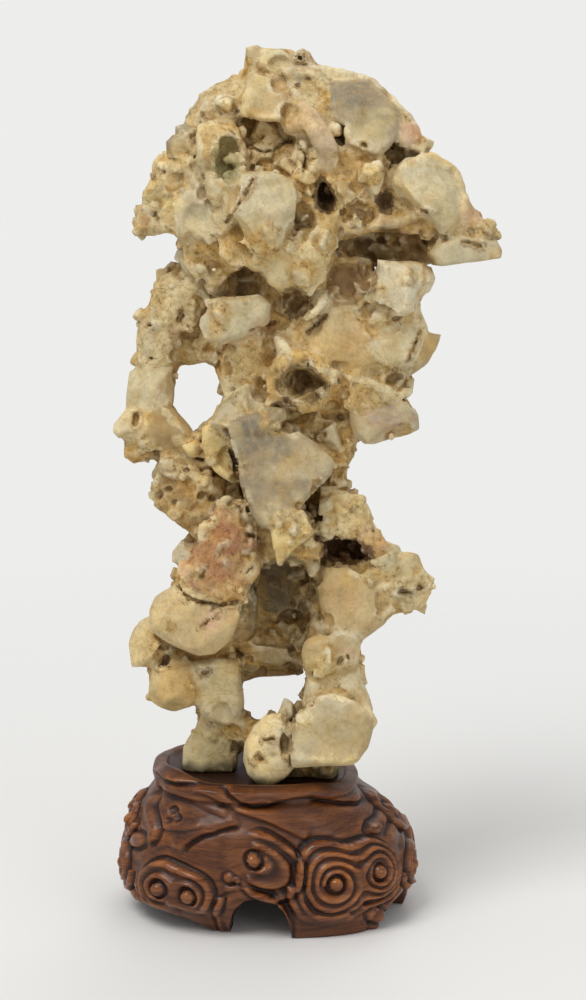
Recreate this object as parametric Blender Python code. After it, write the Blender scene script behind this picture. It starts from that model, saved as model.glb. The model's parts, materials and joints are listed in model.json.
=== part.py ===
"""Scholar's rock: a pierced, top-heavy conglomerate standing on a carved rosewood stand.

The rock is one natural piece. It is built from its stones: each broken stone (clast) is a convex
block, limbs of cement carry them, and everything is fused, hollowed and faceted. The stand is one
carved block of wood with a raised rim, cloud scrolls and short feet. Lengths are in millimetres
until the meshes are written, which are in metres. +Z is up and the front is -Y.
"""
import math
import random

import bmesh
import bpy
from mathutils import Matrix, Vector

MM = 0.001

# ---- driving dimensions -------------------------------------------------------------------------
SEAT_HEIGHT = 62.5          # floor of the stand's seat, where the rock's feet rest
TOUCH_GAP = 0.3             # clearance between the rock's feet and the seat
RIM_HEIGHT = 70.2           # top of the raised rim, at its highest
AXIS_SHIFT = (-17.0, 2.0)   # from the stand's axis to the middle of the whole object's plan

# The rock's stones are drawn in one front elevation, as they are seen from EYE, on an upright
# drawing plane. Each corner then slides along its own sight line to the depth of its stone.
EYE = Vector((11.8, -1200.0, 420.0))
DRAWN_AT = -25.0

VOXEL = 1.5                 # size of the cells that fuse the stones
ROCK_FACES = 0.0312         # share of the fused faces that the faceted rock keeps
CRUST_SIZE, CRUST_DEPTH = 8.0, 2.4
RUBBLE_STEP = 5.0           # along a limb, one small stone in each such length
SEED = 7


def at_depth(x, z, y):
    """A corner of the front elevation, moved along its sight line to depth y."""
    reach = (y - EYE.y) / (DRAWN_AT - EYE.y)
    return Vector((EYE.x + (x - EYE.x) * reach, y, EYE.z + (z - EYE.z) * reach))


# ---- the rock's stones --------------------------------------------------------------------------
# name: (front depth, thickness, chamfer, lean in x, lean in z, corners of the front elevation)
CLASTS = {
    # crown
    "crest_knob_left": (-12, 12, 1.5, 0, 0,
         ((-8, 377), (-8.5, 382), (-3, 383), (-1, 380), (-3, 371), (-7, 371))),
    "crest_ridge": (-12, 20, 2, 0, .2, ((-4, 373), (-3, 381), (12, 381), (14, 378), (12, 371), (0, 370))),
    "crest_knob_right": (-13, 12, 1.5, 0, 0, ((12, 374), (13, 380), (20, 380.5), (21, 376), (17, 373))),
    "crest_step": (-15, 25, 2, 0, .3, ((18, 369), (20, 375), (28, 373), (38, 370), (40, 366), (25, 366))),
    "cap_slab": (-25, 30, 2, .05, .45,
         ((26, 366), (42, 368), (50, 362), (58, 352), (56, 345), (47, 336), (37, 339), (27, 354))),
    "cap_brow": (-15, 30, 3, .2, .3,
         ((36, 355), (38, 368.5), (45, 367.5), (49, 362), (56, 356), (61, 353.5), (65, 347), (45, 345))),
    "brow_pink": (-27, 20, 2, .2, .1, ((56, 341), (56, 350), (64, 349.5), (67, 341), (62, 339))),
    "crown_mass": (-25, 30, 3, 0, .4,
         ((5, 372), (22, 372), (27, 365), (30, 350), (24, 344), (10, 348), (5, 352))),
    "crown_tan": (-28, 25, 2, 0, .3,
         ((-4, 371), (3, 368), (9, 362), (9, 352), (-2, 351), (-9, 354), (-7, 362))),
    "white_ridge": (-34, 12, 2, 0, .2,
         ((15, 358), (20, 357), (28, 345), (31, 338), (26, 338), (18, 347), (13, 352))),
    # left slope of the cap
    "left_slope": (-16, 40, 3, -.1, .5,
         ((-5, 372), (-9, 370), (-20, 366.5), (-27, 361), (-33, 351), (-41, 335), (-30, 325), (-10, 345),
          (-4, 360))),
    "slope_pebble": (-22, 10, 2, 0, .3, ((-22, 354), (-20, 362), (-14, 362), (-12, 356), (-16, 352))),
    "slope_edge": (-17, 14, 2, 0, .3, ((-31, 350), (-36, 342), (-38, 338), (-30, 339), (-27, 348))),
    "left_lobe": (-26, 30, 3, -.2, .2,
         ((-44, 335), (-48, 326), (-53, 314), (-55, 308), (-55, 303), (-52, 302), (-36, 304), (-30, 318),
          (-30, 334))),
    "socket_rim": (-32, 20, 3, 0, .2,
         ((-27, 348), (-18, 350), (-10, 348), (-8, 338), (-12, 328), (-20, 325), (-27, 330))),
    # right of the cap
    "right_boulder": (-34, 45, 6, .25, .15,
         ((58, 316), (52, 325), (57, 334), (68, 338), (78, 333), (83, 324), (84, 305), (79, 300),
          (70, 305))),
    "crust_lump": (-27, 16, 2, .2, 0, ((82, 306), (82, 319), (85, 319), (90, 312), (90, 308))),
    "crust": (-26, 18, 2, .1, 0, ((84, 301), (86, 311), (92, 310), (97, 307), (100, 303), (92, 299))),
    "spike": (-30, 22, 1.5, .1, 0,
         ((72, 295), (75, 300), (84, 302), (99, 301), (101.5, 297), (101, 293), (86, 292.5), (74, 290.5))),
    # middle of the cap
    "centre_boulder": (-46, 30, 5, .1, .1,
         ((-8, 327), (-3, 330), (5, 330), (12, 326), (14, 318), (13, 308), (8, 299), (0, 297), (-8, 303),
          (-13, 312), (-12, 320))),
    "tan_band": (-38, 22, 2, 0, .1,
         ((-25, 330), (-18, 326), (-10, 327), (-5, 330), (-10, 318), (-16, 308), (-20, 318))),
    "left_grey": (-34, 20, 2.5, -.1, .15,
         ((-28, 328), (-21, 318), (-19, 305), (-20, 300), (-28, 299), (-36, 301), (-38, 308), (-35, 316))),
    "left_tan": (-28, 22, 2, 0, -.1,
         ((-36, 300), (-20, 299), (-15, 290), (-17, 280), (-22, 277), (-30, 283), (-35, 288))),
    "pale_strip": (-32, 20, 2, 0, 0, ((-20, 300), (-12, 302), (-10, 295), (-14, 288), (-18, 292))),
    "beard": (-39, 28, 3, 0, -.25, ((-13, 301), (28, 300), (28, 288), (17, 274.5), (2, 286))),
    "chin_fill": (-28, 24, 2, 0, 0, ((-22, 312), (-11, 312), (-10, 298), (-22, 298))),
    "underbrow_wall": (-9, 30, 2, 0, 0, ((36, 304), (74, 305), (77, 294), (67, 291), (48, 290), (36, 292))),
    "centre_matrix": (-31, 30, 3, .05, .1,
         ((14, 345), (36, 340), (47, 336), (54, 325), (50, 306), (28, 299), (14, 300), (8, 325))),
    "chip_tan": (-36, 14, 1.5, 0, 0, ((30, 325), (38, 325), (41, 318), (38, 314), (31, 315))),
    "chip_white": (-36, 14, 1.5, 0, 0,
         ((40, 333), (48, 335), (51, 330), (49, 322), (46, 316), (43, 322), (41, 328))),
    "band": (-33, 16, 2, .1, 0, ((43, 306), (45, 314), (60, 314), (62, 308), (55, 304))),
    "band_lump": (-30, 14, 2, .2, 0, ((58, 303), (58, 312), (68, 312), (69, 304))),
    # neck
    "neck_wall": (-14, 20, 2, 0, 0,
         ((-14, 298), (0, 290), (16, 276), (13, 268), (0, 264), (-10, 264), (-15, 275))),
    "neck_front": (-25, 26, 3, 0, 0,
         ((-14, 262), (0, 266), (16, 268), (18, 250), (4, 252), (0, 236), (-14, 238), (-18, 250))),
    "log": (-38, 36, 3, 0, 0,
         ((-30, 272), (-26, 275), (-18, 275), (-15, 270), (-15, 262), (-22, 257), (-28, 258), (-31, 264))),
    "column_web": (-12, 24, 3, 0, 0,
         ((-24, 286), (-14, 288), (-8, 262), (-14, 240), (-20, 246), (-25, 250), (-36, 249), (-41, 256),
          (-33, 268))),
    "window_right": (-22, 26, 3, 0, 0,
         ((-19, 252), (-10, 252), (-8, 232), (-14, 220), (-24, 217), (-27, 221), (-18, 236))),
    "smooth_body": (-30, 34, 6, .15, .1,
         ((17, 265), (26, 276), (38, 278), (46, 268), (58, 262), (59, 250), (50, 243), (30, 245),
          (17, 250))),
    "bone": (-36, 26, 3, 0, 0,
         ((47, 293), (66, 290), (66, 278), (64, 270), (58, 268), (50, 268), (45, 272), (47, 280))),
    "bone_knob": (-31, 18, 2.5, 0, 0, ((62, 291), (70, 289), (72, 285), (70, 279), (62, 277))),
    "bone_chip": (-24, 14, 2, 0, 0, ((54, 270), (60, 273), (65, 273), (69, 264), (66, 258), (55, 260))),
    "right_arm": (-24, 26, 3, .1, 0,
         ((60, 259), (70, 261), (75, 261), (72, 254), (69, 249), (62, 244), (58, 250))),
    "ridge_band": (-28, 24, 2, 0, .1,
         ((25, 247), (57, 246), (61, 245), (60.5, 234), (57, 231), (30, 228), (25, 236))),
    "right_block": (-29, 28, 3, .05, .05,
         ((36, 229), (45, 233), (50, 232), (57, 234), (62, 233), (65, 226), (66, 220), (62, 218), (50, 216),
          (42, 213), (38, 218))),
    "hole_rim": (-36, 24, 3, .05, 0,
         ((0, 238), (4, 250), (14, 254), (27, 251), (31, 240), (26, 229), (12, 226), (2, 230))),
    "white_fragment": (-34, 10, 1.5, 0, 0, ((4, 260), (8, 258), (12, 250), (8, 249), (5, 254))),
    "cream_flake": (-36, 12, 1.5, 0, 0, ((13, 268), (20, 272), (27, 277), (25, 273), (18, 266))),
    # the arch round the upper window
    "column_top": (-20, 25, 3, 0, 0,
         ((-47, 285), (-36, 286), (-30, 290), (-22, 285), (-25, 272), (-32, 262), (-42, 262), (-49, 272))),
    "column_mid": (-18, 24, 3, 0, 0,
         ((-54, 270), (-48, 273), (-38, 262), (-38, 250), (-42, 245), (-54, 246), (-54, 255))),
    "column_low": (-18, 22, 3, 0, 0,
         ((-58, 245), (-50, 248), (-39, 246), (-38, 232), (-42, 225), (-59, 222), (-59, 235))),
    "elbow": (-22, 22, 2.5, 0, 0,
         ((-66.5, 222), (-62, 227), (-53, 229), (-50, 222), (-55, 216), (-64, 216), (-66.5, 219))),
    "arch_tan": (-20, 24, 3, 0, 0,
         ((-50, 228), (-42, 232), (-36, 226), (-30, 218), (-30, 208), (-45, 210), (-54, 216))),
    "arch_foot": (-18, 20, 2, 0, 0,
         ((-60.5, 214), (-53, 217), (-45, 214), (-44, 207), (-50, 206), (-57, 204.5), (-61, 208))),
    "window_lump": (-5, 12, 2, 0, 0,
         ((-37, 226), (-32, 226.5), (-29, 225), (-26, 218), (-30, 212), (-38, 213))),
    # the great slab and the waist
    "slab_edge": (-31, 20, 1.5, 0, 0,
         ((-27, 220), (-22, 223), (-17, 222), (-13, 208), (-12, 200), (-16, 200), (-24, 205), (-27, 212))),
    "slab_top": (-32, 26, 2.5, 0, .2, ((-20, 222), (-15, 232), (-10, 236), (0, 236), (5, 225), (-15, 218))),
    "great_slab": (-43, 22, 1.5, .14, .12,
         ((-18, 222), (-5, 227), (8, 222), (20, 215), (30, 206), (28, 200), (10, 182), (3, 177), (-2, 177),
          (-8, 187))),
    "waist_right": (-22, 30, 3, .1, 0,
         ((20, 230), (38, 228), (39.5, 213), (35, 207), (31, 203), (31, 196), (28, 190), (20, 195))),
    "shoulder": (-32, 26, 3, .1, 0,
         ((24, 195), (36, 193.5), (43, 191), (45.5, 184), (46, 176), (35, 170), (24, 175))),
    "shoulder_pink": (-30, 22, 2.5, .1, 0,
         ((36, 176), (46, 178), (51, 172), (55, 165), (48, 162), (40, 165))),
    "arm_top": (-28, 24, 3, .1, 0,
         ((53, 164), (58, 166), (66, 165), (68, 160), (66, 155), (50, 152), (42, 155), (44, 162))),
    "arm_end": (-26, 24, 3, .1, 0,
         ((66, 159), (70, 157.5), (75, 154), (74, 151), (70, 142), (66, 140), (52, 137.5), (48, 150))),
    "left_brown": (-20, 26, 3, 0, 0,
         ((-46, 206), (-36, 210), (-25, 203), (-18, 192), (-24, 180), (-31, 174), (-41, 182), (-49, 187),
          (-50, 196))),
    "grey_stub": (-12, 20, 2, 0, 0,
         ((-30, 175), (-36, 171), (-40, 166), (-40.5, 162), (-33, 160), (-28, 163))),
    "red_boulder": (-43, 30, 4, 0, .1,
         ((-20, 190), (-12, 190), (-5, 180), (-3, 165), (-3, 157), (-8, 146), (-10, 143), (-28, 146),
          (-38, 150), (-34, 160), (-26, 175))),
    "slab_root": (-31, 30, 3, 0, 0,
         ((-8, 190), (14, 188), (24, 178), (23, 164), (14, 158), (0, 158), (-6, 168))),
    # the cave and the lower window
    "cave_left": (-14, 24, 2, 0, 0, ((-16, 152), (-4, 152), (-5, 128), (-16, 124))),
    "cave_wall": (5, 18, 2, 0, 0, ((-8, 174), (25, 172), (24, 135), (10, 124), (-8, 124))),
    "cave_pebble": (-30, 12, 2, 0, 0, ((12, 163), (20, 165), (22, 160), (20, 155), (13, 154))),
    "plate_front": (-8, 18, 2, 0, 0, ((-10, 126), (0, 125), (15, 123), (18, 118), (10, 114), (-8, 118))),
    "plate_back": (0, 16, 2, 0, 0,
         ((-11, 120), (-2, 122), (16, 119), (18, 112), (10, 109), (-5, 108), (-11, 107))),
    # the left leg
    "pale_boulder": (-45, 35, 6, 0, .1,
         ((-48, 146), (-40, 151), (-14, 144), (-11, 138), (-16, 127), (-22, 121), (-30, 120), (-40, 124),
          (-49, 131), (-50, 140))),
    "left_stub": (-20, 22, 2.5, 0, 0,
         ((-58, 132), (-55, 136), (-49, 139), (-44, 124), (-48, 118), (-54, 115), (-59, 114), (-60, 125))),
    "stub_web": (-14, 20, 2, 0, 0,
         ((-50, 134), (-34, 134), (-26, 118), (-34, 114), (-46, 114), (-50, 122))),
    "left_leg_top": (-22, 26, 3, 0, 0,
         ((-33, 118), (-12, 118), (-11, 108), (-10, 98), (-14, 88), (-28, 92), (-28, 100), (-32, 108))),
    "left_leg_low": (-12, 26, 3, 0, 0,
         ((-28, 92), (-14, 90), (-12, 84), (-14, 62), (-36, 62), (-36.5, 78), (-32, 86))),
    # the right leg
    "right_leg_top": (-28, 25, 3, .1, 0,
         ((22, 160), (40, 160), (50, 152), (55, 139), (51, 134), (42, 127), (28, 130), (22, 145))),
    "right_leg_mid": (-34, 26, 3, .1, 0,
         ((17, 127), (25, 130), (33, 131), (41, 128), (40.5, 115), (33, 110), (18, 112), (15, 120))),
    "right_leg_low": (-29, 26, 3, .1, 0,
         ((18, 112), (40, 114), (42, 105), (45, 98), (47, 95), (30, 92), (16, 96), (17, 104))),
    "foot_slab": (-43, 24, 2, .08, .08,
         ((18, 98), (27, 101), (38, 98), (45, 92), (47, 88), (45, 78), (41, 72), (38, 70), (12, 70),
          (11, 78), (13, 90))),
    "foot_knob": (-34, 10, 2, 0, 0, ((44, 95), (47, 94), (49, 90), (47, 86), (44, 88))),
    "foot_centre": (-36, 26, 3, 0, 0,
         ((-5, 88), (0, 93), (8, 94), (12, 95), (12, 70), (8, 64), (0, 60), (-3, 61), (-8, 66), (-10, 72),
          (-9, 80))),
    "foot_right": (-23, 16, 2, 0, 0, ((26, 72), (37, 72), (36.5, 64), (35, 58), (28, 58))),
    "foot_back": (-19, 22, 1, 0, 0, ((8, 58), (8, 74), (35, 74), (33, 58))),
}

# How far the back of a slanting stone lies from its drawn front: (x, z).
DRIFTS = {"log": (28, 4), "bone": (2, 3), "arm_end": (-4, 0), "elbow": (6, 0), "spike": (-8, 2)}

# Limbs of cement that carry the stones: (x, y, z, radius) of each joint of a limb.
LIMBS = {
    "cap": ((-38, 0, 322, 12), (0, 0, 328, 27), (62, -2, 320, 21)),
    "crown": ((-8, 2, 352, 14), (12, 2, 354, 19), (36, 2, 348, 18)),
    "neck": ((10, 0, 305, 26), (22, 0, 255, 23)),
    "trunk": ((22, 0, 255, 23), (8, 0, 205, 21)),
    "left_arch": ((-22, -4, 288, 11), (-40, -6, 275, 9), (-46, -6, 245, 8), (-51, -10, 224, 8),
                  (-46, -8, 212, 8), (-32, -6, 200, 10), (-14, -4, 205, 13)),
    "right_arm": ((40, -8, 256, 14), (62, -12, 252, 8)),
    "left_root": ((8, 2, 205, 21), (-14, -2, 175, 16), (-27, -6, 140, 16), (-21, 0, 116, 11),
                  (-21, 2, 92, 9), (-23, 2, 72, 11)),
    "right_root": ((16, 2, 200, 19), (33, -4, 165, 13), (33, -6, 148, 14), (29, -8, 120, 12.5),
                   (28, -11, 95, 14), (27, -14, 72, 13)),
    "low_arm": ((44, -14, 156, 8), (62, -14, 152, 7)),
    "bridge": ((-14, 4, 124, 6), (20, 4, 120, 7)),
    "sill": ((-14, -8, 84, 7), (12, -20, 82, 9)),
    "lobe": ((-40.5, -15, 107, 11), (-41, -15, 103.5, 12.3)),
}

# Stones on the sides and the back: (x, y, z, half width, half depth, half height).
BACK_STONES = {
    "back_crown": (16, 23, 352, 22, 20, 18),
    "back_cap_left": (-26, 23, 327, 19, 18, 17),
    "back_cap_mid": (14, 32, 323, 23, 16, 20),
    "back_cap_right": (54, 24, 327, 22, 20, 18),
    "back_cap_edge": (74, 4, 312, 13, 16, 13),
    "back_left_edge": (-44, 0, 312, 10, 14, 10),
    "back_neck": (8, 19, 290, 20, 14, 16),
    "back_neck_right": (38, 13, 276, 16, 15, 15),
    "back_bone": (54, 4, 272, 13, 15, 10),
    "back_spine": (24, 25, 256, 17, 12, 18),
    "back_trunk": (20, 23, 234, 20, 14, 18),
    "back_trunk_low": (4, 16, 208, 19, 13, 17),
    "back_spine_low": (-4, 23, 184, 15, 11, 15),
    "back_arm": (52, 4, 246, 13, 13, 12),
    "back_arch": (-46, 6, 262, 8, 9, 16),
    "back_arch_low": (-42, 6, 210, 13, 10, 10),
    "back_waist": (25, 14, 205, 12, 15, 15),
    "back_left_root": (-20, 18, 170, 17, 15, 16),
    "back_left_boulder": (-31, 10, 139, 14, 15, 13),
    "back_left_leg": (-20, 13, 106, 9, 13, 17),
    "back_left_foot": (-24, 10, 72, 11, 15, 15),
    "back_right_root": (34, 14, 172, 15, 14, 14),
    "back_right_leg": (34, 10, 136, 13, 14, 17),
    "back_right_low": (30, 8, 104, 12, 13, 15),
    "back_right_foot": (21, 8, 78, 15, 17, 20),
    "back_sill": (0, 14, 72, 14, 12, 11),
    "back_bridge": (4, 20, 134, 16, 10, 13),
    "back_low_arm": (58, -4, 152, 12, 10, 9),
}

# Hollows: (x, y, z, half width, half depth, half height).
HOLLOWS = {
    "temple": (38, -34, 283, 11, 20, 14),
    "eye": (14.5, -40, 241, 10, 18, 8.5),
    "red_mouth": (34, -32, 166, 12, 18, 6),
    "cave": (8, -30, 148, 14, 34, 13),
    "ear": (51, -36, 318, 3.5, 12, 4.5),
    "underbrow": (55, -34, 299, 10, 16, 4.5),
    "socket": (-16, -34, 336, 5, 10, 8.5),
    "dish": (-28, -41, 309, 8, 8.5, 9),
    "slot": (25, -38, 320, 2.5, 10, 6),
}

# Windows that go right through, drawn in the front elevation.
WINDOWS = {
    "upper": ((-34, 247), (-26, 249), (-21.5, 247), (-19.5, 239), (-17, 234), (-21, 227), (-26, 221.5),
              (-30, 217), (-40, 230), (-39, 238), (-37, 244)),
    "lower": ((-10, 108.5), (-5, 110), (10, 110.5), (13, 111), (16, 109), (17, 105), (14.5, 100),
              (9, 97.5), (2, 94.5), (-3, 91.5), (-7, 96.5), (-10, 101)),
    "arch_notch": ((-44, 294), (-38.5, 296), (-37.5, 291), (-40, 288), (-45, 287.5)),
    "cap_slit": ((-31, 337), (-28, 337), (-27, 330), (-30, 329)),
}


def add_hull(bm, points):
    """Add the convex hull of the points as a closed body."""
    verts = [bm.verts.new(p) for p in points]
    made = bmesh.ops.convex_hull(bm, input=verts, use_existing_faces=False)
    loose = {v for v in made["geom_interior"] + made["geom_unused"] if isinstance(v, bmesh.types.BMVert)}
    bmesh.ops.delete(bm, geom=list(loose), context="VERTS")


def add_clast(bm, rng, front, thickness, chamfer, lean_x, lean_z, corners, drift=(0, 0)):
    """A broken stone: its drawn outline, a smaller face in front of it and a smaller back."""
    mid_x = sum(x for x, z in corners) / len(corners)
    mid_z = sum(z for x, z in corners) / len(corners)
    points = []
    for x, z in corners:
        face = front + lean_x * (x - mid_x) + lean_z * (z - mid_z) + chamfer * rng.uniform(0, .5)
        spread = math.hypot(x - mid_x, z - mid_z)
        for inset, depth in ((chamfer * rng.uniform(.7, 1.4), 0), (0, chamfer * rng.uniform(.9, 1.6)),
                             (spread * .12, thickness * .65), (spread * .45, thickness)):
            keep = 1 - min(.9, inset / spread)
            slide = depth / thickness
            points.append(at_depth(mid_x + (x - mid_x) * keep + drift[0] * slide,
                                   mid_z + (z - mid_z) * keep + drift[1] * slide, face + depth))
    add_hull(bm, points)


def add_stone(bm, rng, x, y, z, half_x, half_y, half_z, corners=16):
    """A rough stone: the hull of corners scattered on an ellipsoid."""
    points = []
    for i in range(corners):
        height = 1 - 2 * (i + .5) / corners
        turn = i * math.pi * (3 - math.sqrt(5)) + rng.uniform(-.4, .4)
        ring = math.sqrt(1 - height * height)
        size = rng.uniform(.85, 1.1)
        points.append(Vector((x + half_x * ring * math.cos(turn) * size,
                              y + half_y * ring * math.sin(turn) * size, z + half_z * height * size)))
    add_hull(bm, points)


def add_limb(bm, rng, joints):
    """A limb of cement: between each two joints, the hull of two balls."""
    for start, end in zip(joints, joints[1:]):
        points = []
        for x, y, z, radius in (start, end):
            for i in range(24):
                height = 1 - 2 * (i + .5) / 24
                turn = i * math.pi * (3 - math.sqrt(5))
                ring = math.sqrt(1 - height * height)
                size = radius * rng.uniform(.88, 1.06)
                outward = Vector((ring * math.cos(turn), ring * math.sin(turn), height))
                points.append(Vector((x, y, z)) + size * outward)
        add_hull(bm, points)


def add_rubble(bm, rng, joints):
    """Smaller stones stuck all over the back and the sides of a limb."""
    for start, end in zip(joints, joints[1:]):
        a, b = Vector(start[:3]), Vector(end[:3])
        for i in range(max(2, round((b - a).length / RUBBLE_STEP))):
            along = rng.random()
            radius = start[3] + (end[3] - start[3]) * along
            turn = rng.uniform(.1, .9) * math.pi
            lift = rng.uniform(-.5, .5)
            out = Vector((math.cos(turn) * .72, math.sin(turn), lift))
            spot = a.lerp(b, along) + out * radius * .9
            size = rng.uniform(.3, .55) * radius
            halves = [size * rng.uniform(.7, 1.1), size * rng.uniform(.7, 1.1), size * rng.uniform(.6, 1.2)]
            add_stone(bm, rng, *spot, *halves, corners=10)


def mesh_object(name, bm):
    """Turn a bmesh drawn in millimetres into an object in metres."""
    bmesh.ops.transform(bm, matrix=Matrix.Scale(MM, 4), verts=bm.verts)
    bmesh.ops.recalc_face_normals(bm, faces=bm.faces)
    mesh = bpy.data.meshes.new(name)
    bm.to_mesh(mesh)
    bm.free()
    obj = bpy.data.objects.new(name, mesh)
    bpy.context.collection.objects.link(obj)
    return obj


def add_remesh(obj, voxel):
    remesh = obj.modifiers.new("fuse", "REMESH")
    remesh.mode = "VOXEL"
    remesh.voxel_size = voxel * MM
    remesh.adaptivity = 0


def add_cut(obj, cutter, crossing=False):
    """Cut with a hidden cutter; crossing says that the cutter's own bodies cross each other."""
    cutter.hide_render = True
    cutter.display_type = "WIRE"
    cut = obj.modifiers.new("cut_" + cutter.name, "BOOLEAN")
    cut.operation = "DIFFERENCE"
    cut.solver = "EXACT"
    cut.use_self = crossing
    cut.object = cutter


def add_decimate(obj, share):
    facet = obj.modifiers.new("facet", "DECIMATE")
    facet.decimate_type = "COLLAPSE"
    facet.ratio = share
    facet.use_collapse_triangulate = True


def add_smooth(obj, rounds):
    smooth = obj.modifiers.new("soften", "SMOOTH")
    smooth.factor = .5
    smooth.iterations = rounds


def add_roughness(obj):
    """Break up the surface with an uneven crust."""
    crust = bpy.data.textures.new("crust", "CLOUDS")
    crust.noise_scale = CRUST_SIZE * MM
    crust.noise_depth = 2
    displace = obj.modifiers.new("crust", "DISPLACE")
    displace.texture = crust
    displace.texture_coords = "GLOBAL"
    displace.mid_level = .5
    displace.strength = CRUST_DEPTH * MM


def finish(name, colour, roughness):
    """The Principled material of one part."""
    material = bpy.data.materials.new(name)
    material.use_nodes = True
    shader = material.node_tree.nodes["Principled BSDF"]
    shader.inputs["Base Color"].default_value = (*colour, 1)
    shader.inputs["Roughness"].default_value = roughness
    shader.inputs["Metallic"].default_value = 0
    return material


def make_rock():
    rng = random.Random(SEED)
    bm = bmesh.new()
    for name, clast in CLASTS.items():
        add_clast(bm, rng, *clast, drift=DRIFTS.get(name, (0, 0)))
    for joints in LIMBS.values():
        add_limb(bm, rng, joints)
        add_rubble(bm, rng, joints)
    for stone in BACK_STONES.values():
        add_stone(bm, rng, *stone)
    rock = mesh_object("rock", bm)
    add_remesh(rock, VOXEL)

    bm = bmesh.new()
    for hollow in HOLLOWS.values():
        add_stone(bm, rng, *hollow, corners=40)
    for corners in WINDOWS.values():
        add_hull(bm, [at_depth(x, z, y) for x, z in corners for y in (-90, 90)])
    hollows = mesh_object("hollows", bm)
    add_remesh(hollows, VOXEL)
    add_cut(rock, hollows)
    add_remesh(rock, VOXEL)
    add_smooth(rock, 2)
    add_roughness(rock)
    add_decimate(rock, ROCK_FACES)

    bm = bmesh.new()
    add_seat_block(bm)
    add_cut(rock, mesh_object("seat_block", bm))
    rock.data.materials.append(finish("conglomerate", (.62, .53, .38), .85))
    return rock


# ---- the stand ----------------------------------------------------------------------------------
# Outer wall, floor to rim: (height, half width, half depth).
WALL = ((0, 60.5, 48.6), (4, 61.8, 49.6), (10, 62.6, 50.2), (16, 63, 50.3), (22, 63, 50.2), (29, 62.4, 49.6),
        (36, 60.6, 48.2), (42, 57.6, 46.4), (47, 54, 44.6), (51, 50.4, 43), (54.5, 47, 41.4),
        (57.5, 44.4, 40), (60.5, 44.2, 39.8), (64, 45, 40.4), (68, 44.2, 40), (RIM_HEIGHT, 42, 38.6))
RIM_START = 57.5            # above this height the wall follows the rising rim
BODY_CENTRE = (.5, -3.0)
RIM_CENTRE = (-5.0, -4.5)
# Height of the rim's top in each direction, in degrees: low at the front lip and the right.
RIM_TOPS = ((-180, 68.3), (-145, RIM_HEIGHT), (-112, 66.6), (-60, 66), (-30, 63), (10, 62), (60, 64),
            (110, 65.5), (150, 66), (180, 68.3))
# The front left foot is drawn in under the wall: direction in degrees, spread, depth, height.
TUCK = (-122, 34, 10, 15)
POCKET = (39.4, 34.8)       # half width and half depth of the seat's mouth, inside the rim
POCKET_DRAFT = 1.2          # how much narrower the seat is on its floor
LIP_DROP = 0.8              # the rim's inner edge lies this far under its outer edge
FOOT_MARGIN = 0.6           # clearance between the rock's feet and the seat's wall
HOLLOW = ((0, 47, 33), (20, 44, 30), (32, 36, 24))     # recess under the stand
SQUARENESS = 2.5            # exponent of the plan: 2 is an ellipse, more is squarer
STAND_SEGMENTS = 72

# Cloud scrolls on the wall: (distance along the wall from the front middle, height, radius) of each
# curl. A cloud bulges over all its curls, and a round knob stands in the middle of each.
CLOUD_BULGE = 3.2
KNOB_RADIUS, KNOB_BULGE = 5.0, 2.2
CLOUDS = {
    "front_right": ((29.5, 24.5, 17.5), (51, 26, 12)),
    "front_middle": ((-5.5, 35.5, 10),),
    "front_left": ((-49, 19.5, 10), (-34.5, 19, 9)),
    "left_high": ((-92, 47, 6), (-84, 40, 7)),
    "left_low": ((-104, 25, 12), (-78, 27, 7)),
    "right_high": ((70, 48, 6), (84, 46, 7)),
    "right_low": ((84, 24, 9), (102, 26, 12)),
    "back_left": ((-152, 24.5, 16), (-130, 27, 11)),
    "back_middle": ((178, 36, 10),),
    "back_right": ((136, 21, 10), (152, 22, 9)),
}
# Outline of an arch, in half widths and heights, and the arches between the feet: (direction in
# degrees, half width, height).
ARCH_SHAPE = ((-1, -.3), (-.96, .25), (-.75, .7), (-.4, .95), (0, 1), (.4, .95), (.75, .7), (.96, .25),
              (1, -.3))
ARCHES = {"front": (-94, 15.5, 18.5), "left": (196, 36, 9.5), "right": (-19, 17, 12),
          "back_left": (135, 16, 9), "back": (88, 14, 13), "back_right": (38, 15, 9)}


def rim_top(turn):
    """Height of the rim in one direction, eased between the stated directions."""
    facing = math.degrees(math.remainder(turn, 2 * math.pi))
    for (start, low), (end, high) in zip(RIM_TOPS, RIM_TOPS[1:]):
        if start <= facing <= end:
            share = (facing - start) / (end - start)
            return low + (high - low) * share * share * (3 - 2 * share)
    return RIM_HEIGHT


def tuck(turn, height):
    """How far the foot of the wall is drawn in."""
    facing, spread, depth, reach = TUCK
    away = math.degrees(math.remainder(turn - math.radians(facing), 2 * math.pi)) / spread
    return depth * max(0, 1 - away * away) * max(0, 1 - height / reach)


def plan_point(turn, half_width, half_depth, centre, height=0):
    """A point of the rounded-square plan."""
    across, along = math.cos(turn), math.sin(turn)
    return Vector((centre[0] + half_width * math.copysign(abs(across) ** (2 / SQUARENESS), across),
                   centre[1] + half_depth * math.copysign(abs(along) ** (2 / SQUARENESS), along), height))


def wall_distances(turns):
    """How far along the wall each turn lies from the front middle, from -half to +half its length."""
    girth = [plan_point(turn, 64, 50, BODY_CENTRE) for turn in turns]
    steps = [(b - a).length for a, b in zip(girth, girth[1:] + girth[:1])]
    half = sum(steps) / 2
    return [(sum(steps[:i]) + half) % (2 * half) - half for i in range(len(turns))], 2 * half


def relief(distance, height, length):
    """How far the clouds and their knobs stand proud of the wall."""
    proud = 0
    for curls in CLOUDS.values():
        for along, level, radius in curls:
            gap = math.hypot(math.remainder(distance - along, length), height - level)
            rise = max(0, 1 - (gap / (radius + 3)) ** 4)
            knob = max(0, 1 - (gap / KNOB_RADIUS) ** 2)
            proud = max(proud, CLOUD_BULGE * rise + KNOB_BULGE * knob)
    return proud


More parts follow.
